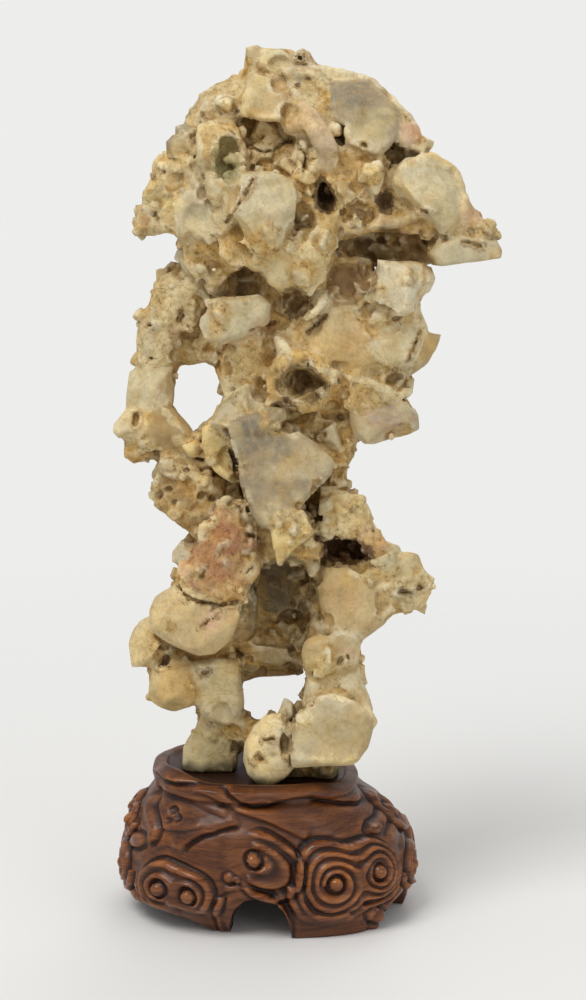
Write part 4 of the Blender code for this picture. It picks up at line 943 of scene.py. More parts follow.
# ---- the rock ------------------------------------------------------------------------------------
def fill_field():
    """All stones and cement in one field, with its hollows and windows."""
    rng, small_rng, chooser = (random.Random(SEED + i) for i in (0, 2, 1))
    field = Field()
    tone_of = {name: tone for tone, names in TONES.items() for name in names.split()}

    def add(points, tone, porous, chip=0, front_only=False):
        field.add_hull(points, field.new_owner(tone, porous), chooser, chip, front_only)

    def add_clast(source, name, clast, chip):
        points = clast_points(source, *clast, drift=DRIFTS.get(name, (0, 0)))
        add(points, tone_of[name], .75 if name in POROUS else 0, chip, True)

    for name, clast in CLASTS.items():
        add_clast(rng, name, clast, 0 if name in SMOOTH else CHIP)
    for name, clast in SMALL_CLASTS.items():
        add_clast(small_rng, name, clast, 0)
    for name, joints in LIMBS.items():
        for start, end in zip(joints, joints[1:]):
            add(limb_points(rng, start, end), *(("tan", .1) if name == "lobe" else ("ochre", 1)))
        for points in rubble_points(rng, joints):
            add(points, chooser.choice(MIXED_TONES), chooser.choice((0, 0, .6)), RUBBLE_CHIP)
    for stone in BACK_STONES.values():
        add(stone_points(rng, *stone), chooser.choice(MIXED_TONES), chooser.choice((0, .3, .75)), BACK_CHIP)

    field.fuse()
    field.fill_gaps(field.new_owner("ochre", .8))
    for i, hollow in enumerate(HOLLOWS.values()):
        field.cut_hull(stone_points(rng, *hollow, corners=40), i)
    for corners in WINDOWS.values():
        field.cut_hull([at_depth(x, z, y) for x, z in corners for y in (-90, 90)], -1)
    return field


def break_up(field):
    """Dishes all over, and fragments, grit and pits in the cement and the seams."""
    chooser = np.random.default_rng(SEED)
    spots = np.argwhere(np.abs(field.near) < STEP * .6)
    facing = field.slope(spots)
    porous = np.array(field.rough)[field.owner[tuple(spots.T)]]
    seam = np.clip(field.second[tuple(spots.T)], 0, 4)
    cement = np.maximum(porous, 1 - ease(seam, .3, 2.2))

    floor = field.near + np.clip(field.thickness() * .32, .25, 2.3)
    for count, low, high, depth in DISHES:
        weight = cement + (.12 if depth > 1.5 else .03)
        for i in chooser.choice(len(spots), count, replace=False, p=weight / weight.sum()):
            tilt = facing[i] + chooser.normal(0, .15, 3)
            field.dish(floor, field.low + STEP * spots[i], tilt / np.linalg.norm(tilt),
                       chooser.uniform(low, high), depth * chooser.uniform(.6, 1.1))

    weight = cement + .04
    pit = field.new_owner("brown", 1)
    count = CHUNKS + SHARDS + GRIT + PITS
    chosen = chooser.choice(len(spots), count, replace=False, p=weight / weight.sum())
    for n, i in enumerate(chosen, -CHUNKS):
        spot = field.low + STEP * spots[i] + chooser.uniform(-.5, .5, 3) - facing[i] * .4
        name = len(field.tones)
        if n < 0:
            size = 3 + 3.5 * chooser.random() ** 1.5
            field.add_shard(chooser, spot - facing[i] * size * .78, size, name)
        elif n < SHARDS:
            size = 1.5 + 2.4 * chooser.random() ** 2
            field.add_shard(chooser, spot - facing[i] * size * .4, size, name)
        elif n < SHARDS + GRIT:
            size = .8 + .9 * chooser.random() ** 2
            field.add_egg(spot, size * chooser.uniform(.65, 1.25, 3), name)
        else:
            size = .7 + 1.5 * chooser.random() ** 3
            field.add_egg(spot, size * chooser.uniform(.7, 1.9, 3), pit, .8)
            continue
        field.new_owner(MIXED_TONES[chooser.integers(len(MIXED_TONES))], .15)


def along(corners, gap):
    """Points every so often along a broken line."""
    spots = []
    for (x, z), (far_x, far_z) in zip(corners, corners[1:]):
        count = max(1, round(math.hypot(far_x - x, far_z - z) / gap))
        spots += [(x + (far_x - x) * i / count, z + (far_z - z) * i / count) for i in range(count)]
    return spots + [corners[-1]]


def front_details(field):
    """What is seen on the front: scoops, pale ridges, pebbles, crystals, cracks and holes."""
    floor = field.near + 6
    for x, z, half, depth in SCOOPS:
        spot = field.face_point(x, z)
        if spot is not None:
            sight = np.array(EYE) - spot
            out = field.slope(np.rint((spot - field.low) / STEP).astype(int)[None])[0]
            out = out + sight / np.linalg.norm(sight) * 1.2
            radius = (half * half + depth * depth) / (2 * depth)
            field.dish(floor, spot, out / np.linalg.norm(out), radius, depth)
    chooser = np.random.default_rng(SEED + 9)
    for radius, tone, corners in CRESTS:
        spots = [field.face_point(x, z) for x, z in along(corners, 1.0)]
        field.add_ridge([spot for spot in spots if spot is not None], radius, field.new_owner(tone, .15))
    for x, z, half_x, half_z, tone in PEBBLES:
        spot = field.face_point(x, z)
        if spot is not None:
            size = (half_x + half_z) / 2
            name = field.new_owner(tone, 0)
            if size > 2.8:
                field.add_shard(chooser, spot + (0, size * .4, 0), size * 1.1, name)
            else:
                field.add_egg(spot + (0, size * .3, 0), np.array((half_x, size * .9, half_z)), name)
    for i in range(CRYSTALS):
        spot = field.face_point(chooser.uniform(4, 20), chooser.uniform(168, 184))
        if spot is not None and spot[1] < -20:
            size = chooser.uniform(1.2, 2.6)
            tone = ("yellow", "cream", "white")[i % 3]
            field.add_shard(chooser, spot + (0, size * .4, 0), size, field.new_owner(tone, .1))
    for width, tone, corners in CRACKS:
        name = field.new_owner(tone, .6)
        for x, z in along(corners, .6):
            spot = field.face_point(x + chooser.uniform(-.25, .25), z + chooser.uniform(-.25, .25))
            if spot is not None:
                half = width * chooser.uniform(.38, .54)
                field.add_egg(spot, np.array((half, width * .5 + .5, half)), name, .4)
    # holes whose dark walls are partly painted shade
    for x, z, half_x, half_z, tone in HOLES:
        spot = field.face_point(x, z)
        if spot is not None:
            name = field.new_owner(tone, .7)
            for i in range(3):
                half = np.array((half_x, 1 + max(half_x, half_z), half_z)) * chooser.uniform(.6, .95, 3)
                away = chooser.uniform(-.6, .6, 3) * (half_x, 1, half_z)
                field.add_egg(spot + away, np.maximum(half, .7), name, .5)


def flatten_feet(field):
    """Keep the feet on the seat's floor and inside its wall."""
    x, y, z = (a.astype(np.float32) for a in field.axes)
    half_x, half_y = (half - FOOT_CLEARANCE for half in POCKET)
    reach = (np.abs((x - RIM_CENTRE[0]) / half_x)[:, None] ** SQUARENESS
             + np.abs((y - RIM_CENTRE[1]) / half_y)[None, :] ** SQUARENESS) ** (1 / SQUARENESS)
    low = z < RIM_HEIGHT + 3
    side = ((reach - 1) * 34)[:, :, None]
    floor = (SEAT_HEIGHT + TOUCH_GAP - z[low])[None, None, :]
    top = (RIM_HEIGHT + .6 - z[low])[None, None, :]
    field.near[:, :, low] = np.maximum(field.near[:, :, low], np.minimum(top, np.maximum(side, floor)))


def toward(colour, other, share):
    """The colours, moved toward another by each point's share."""
    return colour + (other - colour) * share[:, None]


def rock_colour(field, points, normals):
    """Colour, cement, and dirt with painted shade at points of the skin."""
    tint = {name: np.array(rgb) for name, rgb in PALETTE.items()}
    jitter = np.stack([layered(points, 5, 40 + i, 2) for i in range(3)], axis=1) * 1.1
    inner = points - normals * .5
    owner = pick(field.owner, field, inner + jitter * .6)
    owner = np.where(owner < 0, pick(field.owner, field, inner), owner)
    shade = np.random.default_rng(SEED + 5).uniform(.88, 1.1, len(field.tones))
    colour = np.array([PALETTE[tone] for tone in field.tones])[owner] * shade[owner][:, None]
    seam = sample(field.second, field, points + jitter * .5)
    seam = 1 - ease(seam + layered(points, 4, 61, 2) * .9, .2, 2.4)
    cement = np.clip(np.maximum(np.array(field.rough)[owner], seam * .85), 0, 1)

    # earth in the cement, and a pale wash over everything
    broad = layered(points, 26, 71, 3)
    earth = toward(tint["cream"], tint["ochre"], ease(layered(points, 8, 75, 3) + broad * .5, -.45, .6) * .8)
    earth = toward(earth, tint["yellow"], ease(broad, .1, .8) * .4)
    earth = toward(earth, tint["brown"], ease(layered(points, 5, 78, 3), .35, 1.1) * .6)
    wash = toward(tint["cream"], tint["tan"], ease(layered(points, 17, 95, 2), -.5, .5))
    colour = toward(colour, wash, ease(layered(points, 12, 91, 3), -.3, .7) * .5)
    colour = toward(colour, earth, cement * (.3 + .6 * ease(layered(points, 9, 81, 3), -.5, .4)))

    # stains on the front, and painted shade in its hollows
    ex, ez = on_elevation(*points.T)
    facing = ease(-normals[:, 1], -.5, .2)
    mottle = .45 + .85 * ease(layered(points, 3.4, 111, 2), -.5, .5)
    ragged = layered(points, 6, 101, 3) * .45
    for x, z, radius, tone, strength in STAINS_AND_SHADE:
        gap = np.hypot(ex - x, ez - z) / radius + ragged
        stain_and_shade = (1 - ease(gap, .35, 1.1)) * strength * facing * mottle
        colour = toward(colour, tint[tone], np.clip(stain_and_shade, 0, 1))

    # rust in the hollows; grime and painted shade darken the hollows; pale ridges, partly worn and partly a
    # painted highlight
    hollow = np.clip(1 - sample(field.near, field, points + normals * 2.4) / 2.4, 0, 1)
    wide = np.clip(1 - sample(field.near, field, points + normals * 5.2) / 5.2, 0, 1)
    ridge = np.clip(1 + sample(field.near, field, points - normals * 2.4) / 2.4, 0, 1)
    # painted shade with grime: darker the deeper the hollow
    shade_and_dirt = ease(hollow, .3, .95) * .55 + ease(wide, .4, 1.0) * .3
    grime_and_shade = toward(tint["brown"], tint["ochre"], ease(layered(points, 7, 121, 2), -.5, .5) * .35)
    rust = ease(hollow, .16, .6) * (.2 + .5 * cement) * (.5 + .9 * ease(layered(points, 9, 131, 2), -.5, .5))
    colour = toward(colour, tint["ochre"] * (1, .94, .75), np.clip(rust, 0, .75))
    colour = toward(colour, grime_and_shade * .7, np.clip(shade_and_dirt, 0, .8))
    # pale ridges: worn edges and partly a painted highlight
    colour = toward(colour, tint["white"], ease(ridge, .22, .75) * .6)
    # painted shade: each hollow takes its dark tone, most where it is deepest
    cut = pick(field.cuts, field, points)
    for i, name in enumerate(HOLLOWS):
        colour = toward(colour, tint[HOLLOW_SHADE_TONES[name]], (cut == i) * ease(wide, -.1, .5) * .85)
    # painted contact shade: the feet darken towards their bottom, near black where they meet the seat
    foot_shade = (1 - ease(points[:, 2] + layered(points, 6, 141, 2) * 2.5, 65, 70)) * .85
    return np.clip(toward(colour, np.array(FOOT_SHADE), foot_shade), .01, 1), cement, shade_and_dirt


def roughen(field, points, normals):
    """Move the skin's points in and out: soft waves on stones, a finer crust on cement."""
    porous = np.array(field.rough)[pick(field.owner, field, points - normals * .5)]
    cement = np.maximum(porous, 1 - ease(sample(field.second, field, points), .3, 2.6))
    lift = (1 - cement) * (layered(points, 11, 11, 2) * .5 + lattice(points, 3.2, 15) * .12)
    lift += cement * (layered(points, 5, 21, 3) * .5 + lattice(points, 1.9, 25) * .2)
    lift += layered(points, 22, 31, 1) * .5
    lift *= ease(points[:, 2], SEAT_HEIGHT + 1, SEAT_HEIGHT + 4)
    return points + normals * lift[:, None]


def make_rock(material):
    """The rock's skin in a few pieces, one above the other."""
    field = fill_field()
    break_up(field)
    front_details(field)
    flatten_feet(field)
    points, quads = surface_net(field.near, field.low)
    points = roughen(field, points, vertex_normals(points, quads))
    normals = vertex_normals(points, quads)
    colour, cement, shade_and_dirt = rock_colour(field, points, normals)
    state = np.stack([cement, shade_and_dirt, np.zeros(len(cement))], axis=1)

    middle = points[quads].mean(axis=1)
    bounds = (-1e9, *ROCK_CUTS, 1e9)
    layers = [(middle[:, 2] >= low) & (middle[:, 2] < high) for low, high in zip(bounds, bounds[1:])]
    crown, left = layers.pop(), middle[:, 0] < CROWN_CUT
    layers += [crown & left, crown & ~left]
    for i, layer in enumerate(layers):
        used, local = np.unique(quads[layer], return_inverse=True)
        mesh = mesh_from_arrays("rock_%d" % (i + 1), points[used], local.reshape(-1, 4))
        paint(mesh, "tone", colour[used])
        paint(mesh, "state", state[used])
        add_piece("rock_%d" % (i + 1), mesh, material, "rock")
        mesh.normals_split_custom_set_from_vertices(normals[used].tolist())


# ---- the stand -----------------------------------------------------------------------------------
# Outer wall, floor to rim: (height, half width, half depth).
WALL = (
    (0, 60.5, 48.6), (4, 61.8, 49.6), (10, 62.6, 50.2), (16, 63, 50.3), (22, 63, 50.2), (29, 62.4, 49.6),
    (36, 60.6, 48.2), (42, 57.6, 46.4), (47, 54, 44.6), (51, 50.4, 43), (54.5, 47, 41.4), (57.5, 44.4, 40),
    (60.5, 44.2, 39.8), (64, 45, 40.4), (68, 44.2, 40), (RIM_HEIGHT, 42, 38.6),
)
LEAN_START, RIM_START = 35, 57.5    # the wall leans to the rim's centre, then follows the rising rim
# Height of the rim's top in each direction, in degrees: low at the front lip and the right.
RIM_TOPS = (
    (-180, 68.3), (-145, RIM_HEIGHT), (-112, 66.6), (-60, 66), (-30, 63), (10, 62), (60, 64), (110, 65.5),
    (150, 66), (180, 68.3),
)
TUCK = (-122, 34, 10, 15)           # the front left foot is drawn in: direction, spread, depth, height
LIP_DROP, LIP_ROUND = .8, .5        # the rim's inner edge is lower than its outer edge, and round between
HOLLOW = ((0, 47, 33), (20, 44, 30), (32, 36, 24))      # recess under the stand
STAND_COLUMNS, STAND_STEP = 560, .56
# the carving's relief also darkens the grooves and lightens the ridges: painted shade and a painted
# highlight
FULL_RIDGE = 2.4                    # a ridge this much above its surroundings is polished most
UNDER_SHADE, SEAT_SHADE = -.4, -.8  # the recess and the seat are dark as grooves this deep

# Cloud scrolls: curls as (distance along the wall from the front middle, height, how far the
# outermost ridge lies from the curl, and how far the ridges slide sideways and down as they widen).
CLOUD_BULGE, CLOUD_BLEND = 2.1, .45
RIDGES, RIDGE_GAP, RIDGE_HEIGHT, RIDGE_OUTLINE = 5, 4.3, 1.9, 1.4
KNOB_RADIUS, KNOB_HEIGHT, KNOB_WELL = 3.0, 2.7, 1.3
CLOUDS = {
    "front_right": ((29.5, 24.5, 20, 0, 0), (51, 27, 15, 0, 0)),
    "front_middle": ((-5.5, 36, 15, 6, 3.5),),
    "front_left": ((-49, 19.5, 14.5, 0, 0), (-34, 18.5, 13, 0, 0)),
    "left_high": ((-98, 45, 9, 0, 0), (-86, 42, 8, 0, 0)),
    "left_low": ((-108, 23, 15, 0, 0), (-84, 22, 12, 0, 0)),
    "right_high": ((88, 45, 10, 0, 0),),
    "right_low": ((84, 21, 12, 0, 0), (106, 24, 15, 0, 0)),
    "back_left": ((-152, 24.5, 19, 0, 0), (-130, 27, 14, 0, 0)),
    "back_middle": ((178, 37, 13, 5, 3),),
    "back_right": ((134, 21, 14, 0, 0), (151, 21, 13, 0, 0)),
}
# Lines carved on the front: (which hand the fold lies on, how far it stands proud, its width, depth
# of the groove, corners on the front elevation). The left hand is +1.
LINES = {
    "lip": (1, 2.0, 8, 2.2, ((-22, 63), (-18.5, 60), (-16, 56.5), (-11.5, 53), (-5.5, 51), (1, 51.5),
                             (6, 53), (12, 54.5), (19, 55), (26, 53.5), (33.5, 52.5), (40, 52.5), (44, 55))),
    "left_roll": (1, 2.0, 8, 2.0, ((-50, 69), (-47, 66), (-44, 63), (-39, 61.5), (-33, 61.7), (-26, 63),
                                   (-21, 62.5))),
    "roll_valley": (1, .5, 3, 1.4, ((-34, 70), (-31, 67), (-27, 65), (-21, 64.5), (-16, 62))),
    "swirl": (1, 1.6, 7, .5, ((-33, 58), (-26, 56), (-19, 52), (-13, 48), (-6, 45.5), (2, 42.5), (10, 38.5),
                              (18, 34.5))),
    "crease": (1, 1.5, 7, 1.5, ((-37, 29), (-35, 32.5), (-32, 35), (-27.5, 37.5), (-23, 38.5), (-21, 39.5),
                                (-16, 41), (-11, 42))),
    "upper_fold": (1, .9, 6, .3, ((-47, 57), (-40, 55), (-32, 52), (-24, 48), (-17, 45))),
    "under_fold": (1, .9, 4, .4, ((-48, 41), (-44, 40), (-38, 39.5), (-32, 40.5), (-26, 42))),
    "left_loop": (-1, 1.6, 5, 1.4, ((-46, 58), (-49, 52), (-48, 46), (-46.5, 41), (-48, 36), (-52, 32))),
    "loop_rim": (-1, 1.0, 4, .9, ((-52, 60), (-55, 53), (-56.5, 47), (-57.5, 41))),
    "right_leaf": (1, 1.8, 5, 1.6, ((43, 61), (47, 57), (49, 52), (48, 47), (44.5, 44.5), (43.5, 40.5),
                                    (46, 38))),
    "leaf_edge": (1, 1.1, 4, 1.0, ((50, 58), (53.5, 52), (54.5, 46), (53, 40), (52, 36))),
    "far_leaf": (1, .9, 4, .9, ((56, 52), (58.5, 45), (59.5, 38), (59, 30))),
    "arch_flow": (-1, 1.2, 5, .8, ((-19, 16), (-13, 15.5), (-6, 14.5), (1, 11.5), (7, 6), (11, -1))),
    "foot_fold": (-1, .9, 5, .7, ((15, 10), (20, 3), (28, 2), (35, 4), (40, 1))),
    "foot_curl": (-1, 1.2, 5, 1.0, ((40, 8), (44, 7), (49, 8), (53, 12), (55, 17))),
}
GROOVE_WIDTH = 1.1
# Round knobs, and pits where the height is negative: (x, z, radius, height) on the front elevation.
KNOBS = (
    (-57, 36, 3.6, 2.4), (-50, 61, 3.4, 1.6), (48, 41.5, 2.6, 1.8), (-16.5, 18.5, 2.6, 1.4),
    (-13, 17.8, 1.8, .9), (48, 1.5, 3.6, 2.0), (-41, 49.5, 2.4, -2.2), (-39.5, 46, 2.2, -2.2),
    (-43, 45, 1.8, -1.2),
)
# The gaps between the feet: half of a gap's outline, and each gap's direction, half width and height.
ARCH_SIDE = ((-1, -.3), (-.96, .25), (-.75, .7), (-.4, .95))
ARCH_SHAPE = (*ARCH_SIDE, (0, 1), *((-across, up) for across, up in reversed(ARCH_SIDE)))
ARCHES = {
    "front": (-94, 15.5, 18.5), "left": (196, 36, 9.5), "right": (-19, 17, 12), "back_left": (135, 16, 9),
    "back": (88, 14, 13), "back_right": (38, 15, 9),
}


def eased_table(table, values):
    """Read a table of (position, value) rows with easing between them."""
    spots, heights = np.array(table, float).T
    i = np.clip(np.searchsorted(spots, values, "right") - 1, 0, len(spots) - 2)
    return heights[i] + (heights[i + 1] - heights[i]) * ease(values, spots[i], spots[i + 1])


def plan_ring(turns, half_width, half_depth, centre):
    """Points of the rounded-square plan."""
    across, along = np.cos(turns), np.sin(turns)
    power = 2 / SQUARENESS
    return (centre[0] + half_width * np.sign(across) * np.abs(across) ** power,
            centre[1] + half_depth * np.sign(along) * np.abs(along) ** power)


def round_the_wall(distance, length):
    """The same distance along the wall, counted the shorter way round."""
    return (distance + length / 2) % length - length / 2


def beside_line(corners, x, z):
    """Distance from the line through the corners, positive on its left hand, and how near its ends."""
    near, side, place = np.full(x.shape, 1e9), np.zeros(x.shape), np.zeros(x.shape)
    spots = np.array(corners, float)
    lengths = np.hypot(*np.diff(spots, axis=0).T)
    passed = 0
    for a, b, length in zip(spots, spots[1:], lengths):
        d = (b - a) / length
        reach = np.clip((x - a[0]) * d[0] + (z - a[1]) * d[1], 0, length)
        gap = np.hypot(x - a[0] - d[0] * reach, z - a[1] - d[1] * reach)
        closer = gap < near
        near[closer] = gap[closer]
        side[closer] = np.sign(d[0] * (z - a[1]) - d[1] * (x - a[0]))[closer]
        place[closer] = (passed + reach)[closer]
        passed += length
    return near * side, ease(np.minimum(place, lengths.sum() - place), -.5, 3.5)


def cloud_relief(distance, height, length):
    """How far the clouds stand proud of the wall, with their ridges and knobs."""
    proud, carved = np.zeros(distance.shape), np.zeros(distance.shape)
    floor_fade = ease(height, 6, 16)
    for curls in CLOUDS.values():
        contour, sides = None, 1
        ridges = int(np.clip(round(max(curl[2] for curl in curls) / RIDGE_GAP), 2, RIDGES))
        knobs, wells = np.zeros(distance.shape), np.zeros(distance.shape)
        for place, level, reach, slide, drop in curls:
            across, up = round_the_wall(distance - place, length), height - level
            gap = np.hypot(across, up)
            proud = np.maximum(proud, CLOUD_BULGE * ease(reach + 2 - gap, 0, reach * .6))
            knobs += np.sqrt(np.clip(1 - (gap / KNOB_RADIUS) ** 2, 0, None)) * KNOB_HEIGHT
            wells = np.maximum(wells, 1 - ease(gap, KNOB_RADIUS + .6, KNOB_RADIUS + 2.4))
            wide = np.clip(gap / reach, 0, 1.2)
            ring = np.hypot(across - slide * wide, up + drop * wide) / reach
            if len(curls) > 1:
                hand = -1 if place == min(curl[0] for curl in curls) else 1
                ring = ring + np.arctan2(up, -across * hand) / (2 * math.pi * ridges) * ease(ring, .15, .4)
            ring = ring + .03 * np.sin(np.arctan2(up, across) * 3 + place) * ease(ring, .3, .8)
            if slide:
                turned = np.degrees(np.arctan2(up, across))
                sides = ease(turned, -125, -95) * (1 - ease(turned, 60, 95))
            contour = ring if contour is None else soft_min(contour, ring, CLOUD_BLEND)
        step = np.clip(contour, 0, 1.3) * ridges
        share = step - np.floor(step)
        crest = ease(share, .04, .62) * (1 - ease(share, .7, 1.0))
        shown = sides * floor_fade
        carved += (step < ridges) * shown * crest * RIDGE_HEIGHT * (1 - wells)
        carved += knobs - KNOB_WELL * wells * (knobs == 0)
        outline = np.exp(-np.clip((contour - 1.02) / .07, 0, None) ** 2) * (step >= ridges)
        carved -= RIDGE_OUTLINE * shown * outline
    return proud, carved


def front_relief(x, z, facing):
    """The folds, creases, leaves and knobs carved on the front."""
    carved = np.zeros(x.shape)
    for hand, lift, width, groove, corners in LINES.values():
        gap, ends = beside_line(corners, x, z)
        fold = ease(gap * hand, 0, width * .35) * (1 - ease(gap * hand, width * .5, width * 1.3))
        carved += ends * (lift * fold - groove * np.exp(-(np.abs(gap) / GROOVE_WIDTH) ** 1.5))
    for knob_x, knob_z, radius, lift in KNOBS:
        gap = np.hypot(x - knob_x, z - knob_z) / radius
        carved += lift * np.sqrt(np.clip(1 - gap ** 2, 0, None))
        carved -= max(0, lift) * .4 * np.exp(-((gap - 1.25) / .25) ** 2)
    return carved * ease(facing, .05, .4)


def arch_lip(turns, distance, height, length):
    """A raised band round each gap between the feet."""
    carved = np.zeros(distance.shape)
    for direction, half_width, tall in ARCHES.values():
        away = (turns - math.radians(direction) + math.pi) % (2 * math.pi) - math.pi
        across = round_the_wall(distance - distance[0, np.argmin(np.abs(away))], length)
        reach = (np.abs(across / (half_width * 1.02)) ** 2.4 + np.abs(height / tall) ** 2.4) ** (1 / 2.4)
        gap = (reach - 1) * tall
        carved += .9 * np.exp(-((gap - 1.6) / 1.3) ** 2) - .8 * np.exp(-((gap - 4.4) / 1.0) ** 2)
    return carved


def wall_halves(heights):
    """The wall's half width and half depth at the heights, with its table's corners rounded."""
    table = np.array(WALL)
    kernel = np.hanning(9)[1:-1] / np.hanning(9)[1:-1].sum()
    for column in (1, 2):
        raw = np.interp(heights, table[:, 0], table[:, column])
        padded = np.concatenate([2 * raw[0] - raw[3:0:-1], raw, 2 * raw[-1] - raw[-2:-5:-1]])
        yield np.convolve(padded, kernel, "valid")[:, None]


def soft(grid, width):
    """Mean over a few rows and columns each way. The columns run round the stand."""
    span = 2 * width + 1
    padded = np.concatenate([grid[width:0:-1], grid, grid[-2:-width - 2:-1]])
    down = sum(padded[i:i + len(grid)] for i in range(span)) / span
    return sum(np.roll(down, i, axis=1) for i in range(-width, width + 1)) / span


def carved_wall(turns):
    """The outer wall with its carving: grids of x, y, z and of how proud each point is."""
    girth = np.stack(plan_ring(turns, 64, 50, BODY_CENTRE), axis=1)
    steps = np.linalg.norm(np.roll(girth, -1, axis=0) - girth, axis=1)
    length = steps.sum()
    heights = np.arange(0, RIM_HEIGHT + STAND_STEP / 2, STAND_STEP)
    share = np.clip((heights - LEAN_START) / (RIM_START - LEAN_START), 0, 1)[:, None]
    centre = [BODY_CENTRE[i] + (RIM_CENTRE[i] - BODY_CENTRE[i]) * share for i in range(2)]
    x, y = plan_ring(turns[None, :], *wall_halves(heights), centre)
    out = np.stack([x - centre[0], y - centre[1]], axis=2)
    out /= np.linalg.norm(out, axis=2)[:, :, None]
    directions = np.degrees((turns + math.pi) % (2 * math.pi) - math.pi)
    rise = (eased_table(RIM_TOPS, directions) - RIM_START) / (RIM_HEIGHT - RIM_START)
    level = heights[:, None] * np.ones(STAND_COLUMNS)
    z = np.where(level < RIM_START, level, RIM_START + (level - RIM_START) * rise[None, :])
    passed = np.concatenate([[0], np.cumsum(steps)[:-1]])
    distance = round_the_wall(passed, length)[None, :] * np.ones(len(heights))[:, None]

    proud, carved = cloud_relief(distance, level, length)
    carved += front_relief(*on_elevation(x, y, z), -out[:, :, 1]) + arch_lip(turns, distance, level, length)
    # flowing folds above the clouds at the sides and the back, and the marks of the knife
    spots = np.stack([x, y, z], axis=2).reshape(-1, 3)
    warp = layered(spots, 22, 301, 2).reshape(level.shape)
    band = ease(level, 33, 40) * (1 - ease(level, 53, 57)) * (1 - ease(-out[:, :, 1], .2, .6))
    carved += band * (np.abs(np.sin((level * .9 + distance * .28 + warp * 7) / 5.2)) - .6) * 1.1
    carved += layered(spots, 9, 311, 2).reshape(level.shape) * .22
    # the rolled lip: full and round above its undercut
    carved += (ease(heights, 58.5, 61.5) - np.exp(-((heights - 58) / 1.6) ** 2) * .8)[:, None]
    direction, spread, depth, tall = TUCK
    away = ((directions - direction + 180) % 360 - 180) / spread
    tucked = depth * np.clip(1 - away ** 2, 0, None)[None, :] * np.clip(1 - heights / tall, 0, None)[:, None]
    offset = proud + carved * (1 - ease(level, RIM_HEIGHT - 3.5, RIM_HEIGHT)) - tucked
    relief = proud + carved
    return x + out[:, :, 0] * offset, y + out[:, :, 1] * offset, z, relief - soft(soft(relief, 2), 2)


def stand_rings(turns):
    """The stand's rings of points, from the top of the recess out, up and into the seat."""
    rings = []
    for height, half_width, half_depth in reversed(HOLLOW):
        x, y = plan_ring(turns, half_width, half_depth, BODY_CENTRE)
        rings.append((np.stack([x, y, np.full(len(turns), height)], axis=1), UNDER_SHADE))
    rings += [(np.stack(row[:3], axis=1), row[3]) for row in zip(*carved_wall(turns))]
    outer = rings[-1][0]
    x, y = plan_ring(turns, *POCKET, RIM_CENTRE)
    inner = np.stack([x, y, outer[:, 2] - LIP_DROP], axis=1)
    for share in np.arange(1, 7) / 6:
        ring = outer + (inner - outer) * share
        ring[:, 2] += math.sin(share * math.pi) * LIP_ROUND
        rings.append((ring, 0))
    middle = np.array((*RIM_CENTRE, SEAT_HEIGHT))
    for share in np.arange(1, 10) / 9:
        ring = inner + (middle - inner) * (.04 * share + .22 * share * share)
        ring[:, 2] = SEAT_HEIGHT + (inner[:, 2] - SEAT_HEIGHT) * (1 - share) ** 1.7 + .05
        rings.append((ring, SEAT_SHADE * share))
    floor = rings[-1][0]
    return rings + [(floor + (middle - floor) * share, SEAT_SHADE) for share in (.35, .65, .85)]


def stand_skin():
    """The stand's closed skin: points, quads, the triangles of its two caps, and depths of carving."""
    n = STAND_COLUMNS
    rings = stand_rings(math.radians(-90) + 2 * math.pi * np.arange(n) / n)
    points = np.concatenate([ring for ring, depth in rings])
    depths = np.concatenate([np.broadcast_to(depth, n) for ring, depth in rings] + [[UNDER_SHADE, 0]])
    i, j = np.arange(n), (np.arange(n) + 1) % n
    quads = np.concatenate([np.stack([k * n + i, k * n + j, (k + 1) * n + j, (k + 1) * n + i], axis=1)
                            for k in range(len(rings) - 1)])
    last = (len(rings) - 1) * n
    fans = np.concatenate([np.stack([np.full(n, len(points)), j, i], axis=1),
                           np.stack([last + i, last + j, np.full(n, len(points) + 1)], axis=1)])
    points = np.concatenate([points, [points[:n].mean(axis=0)], [points[-n:].mean(axis=0)]])
    return points, quads, fans, depths


def arch_cutter(direction, half_width, height):
    """A body that cuts one gap between the feet, wider outward."""
    turn = math.radians(direction)
    out, side = Vector((math.cos(turn), math.sin(turn), 0)), Vector((-math.sin(turn), math.cos(turn), 0))
    bm = bmesh.new()
    for reach, grow in ((24, .8), (90, 1.15)):
        for across, up in ARCH_SHAPE:
            foot = Vector((*BODY_CENTRE, 0)) + out * reach + side * across * half_width * grow
            bm.verts.new(to_frame(np.array(foot + Vector((0, 0, up * height)))))
    bmesh.ops.convex_hull(bm, input=bm.verts)
    mesh = bpy.data.meshes.new("arch")
    bm.to_mesh(mesh)
    bm.free()
    return bpy.data.objects.new("arch", mesh)


def cut_arches(mesh):
    """The mesh with the gaps between the feet cut out."""
    holder = add_object("holder", mesh)
    cutters = bpy.data.collections.new("arches")
    bpy.context.scene.collection.children.link(cutters)
    for arch in ARCHES.values():
        cutters.objects.link(arch_cutter(*arch))
    cut = holder.modifiers.new("arches", "BOOLEAN")
    cut.operation, cut.solver = "DIFFERENCE", "MANIFOLD"
    cut.operand_type, cut.collection = "COLLECTION", cutters
    made = bpy.data.meshes.new_from_object(holder.evaluated_get(bpy.context.evaluated_depsgraph_get()))
    for obj in [holder, *cutters.objects]:
        bpy.data.objects.remove(obj, do_unlink=True)
    bpy.data.collections.remove(cutters)
    return made


def make_stand(material):
    """The carved stand, with the depth of its carving kept at each point."""
    points, quads, fans, depths = stand_skin()
    mesh = cut_arches(mesh_from_arrays("stand_carved", points, quads, fans))
    tree = KDTree(len(points))
    for i, point in enumerate(to_frame(points)):
        tree.insert(point, i)
    tree.balance()
    near = np.array([tree.find(v.co)[1] for v in mesh.vertices])
    paint(mesh, "state", np.clip(.5 + depths[near] / FULL_RIDGE, 0, 1)[:, None] * np.ones(3))
    add_piece("stand_carved", mesh, material, "stand")


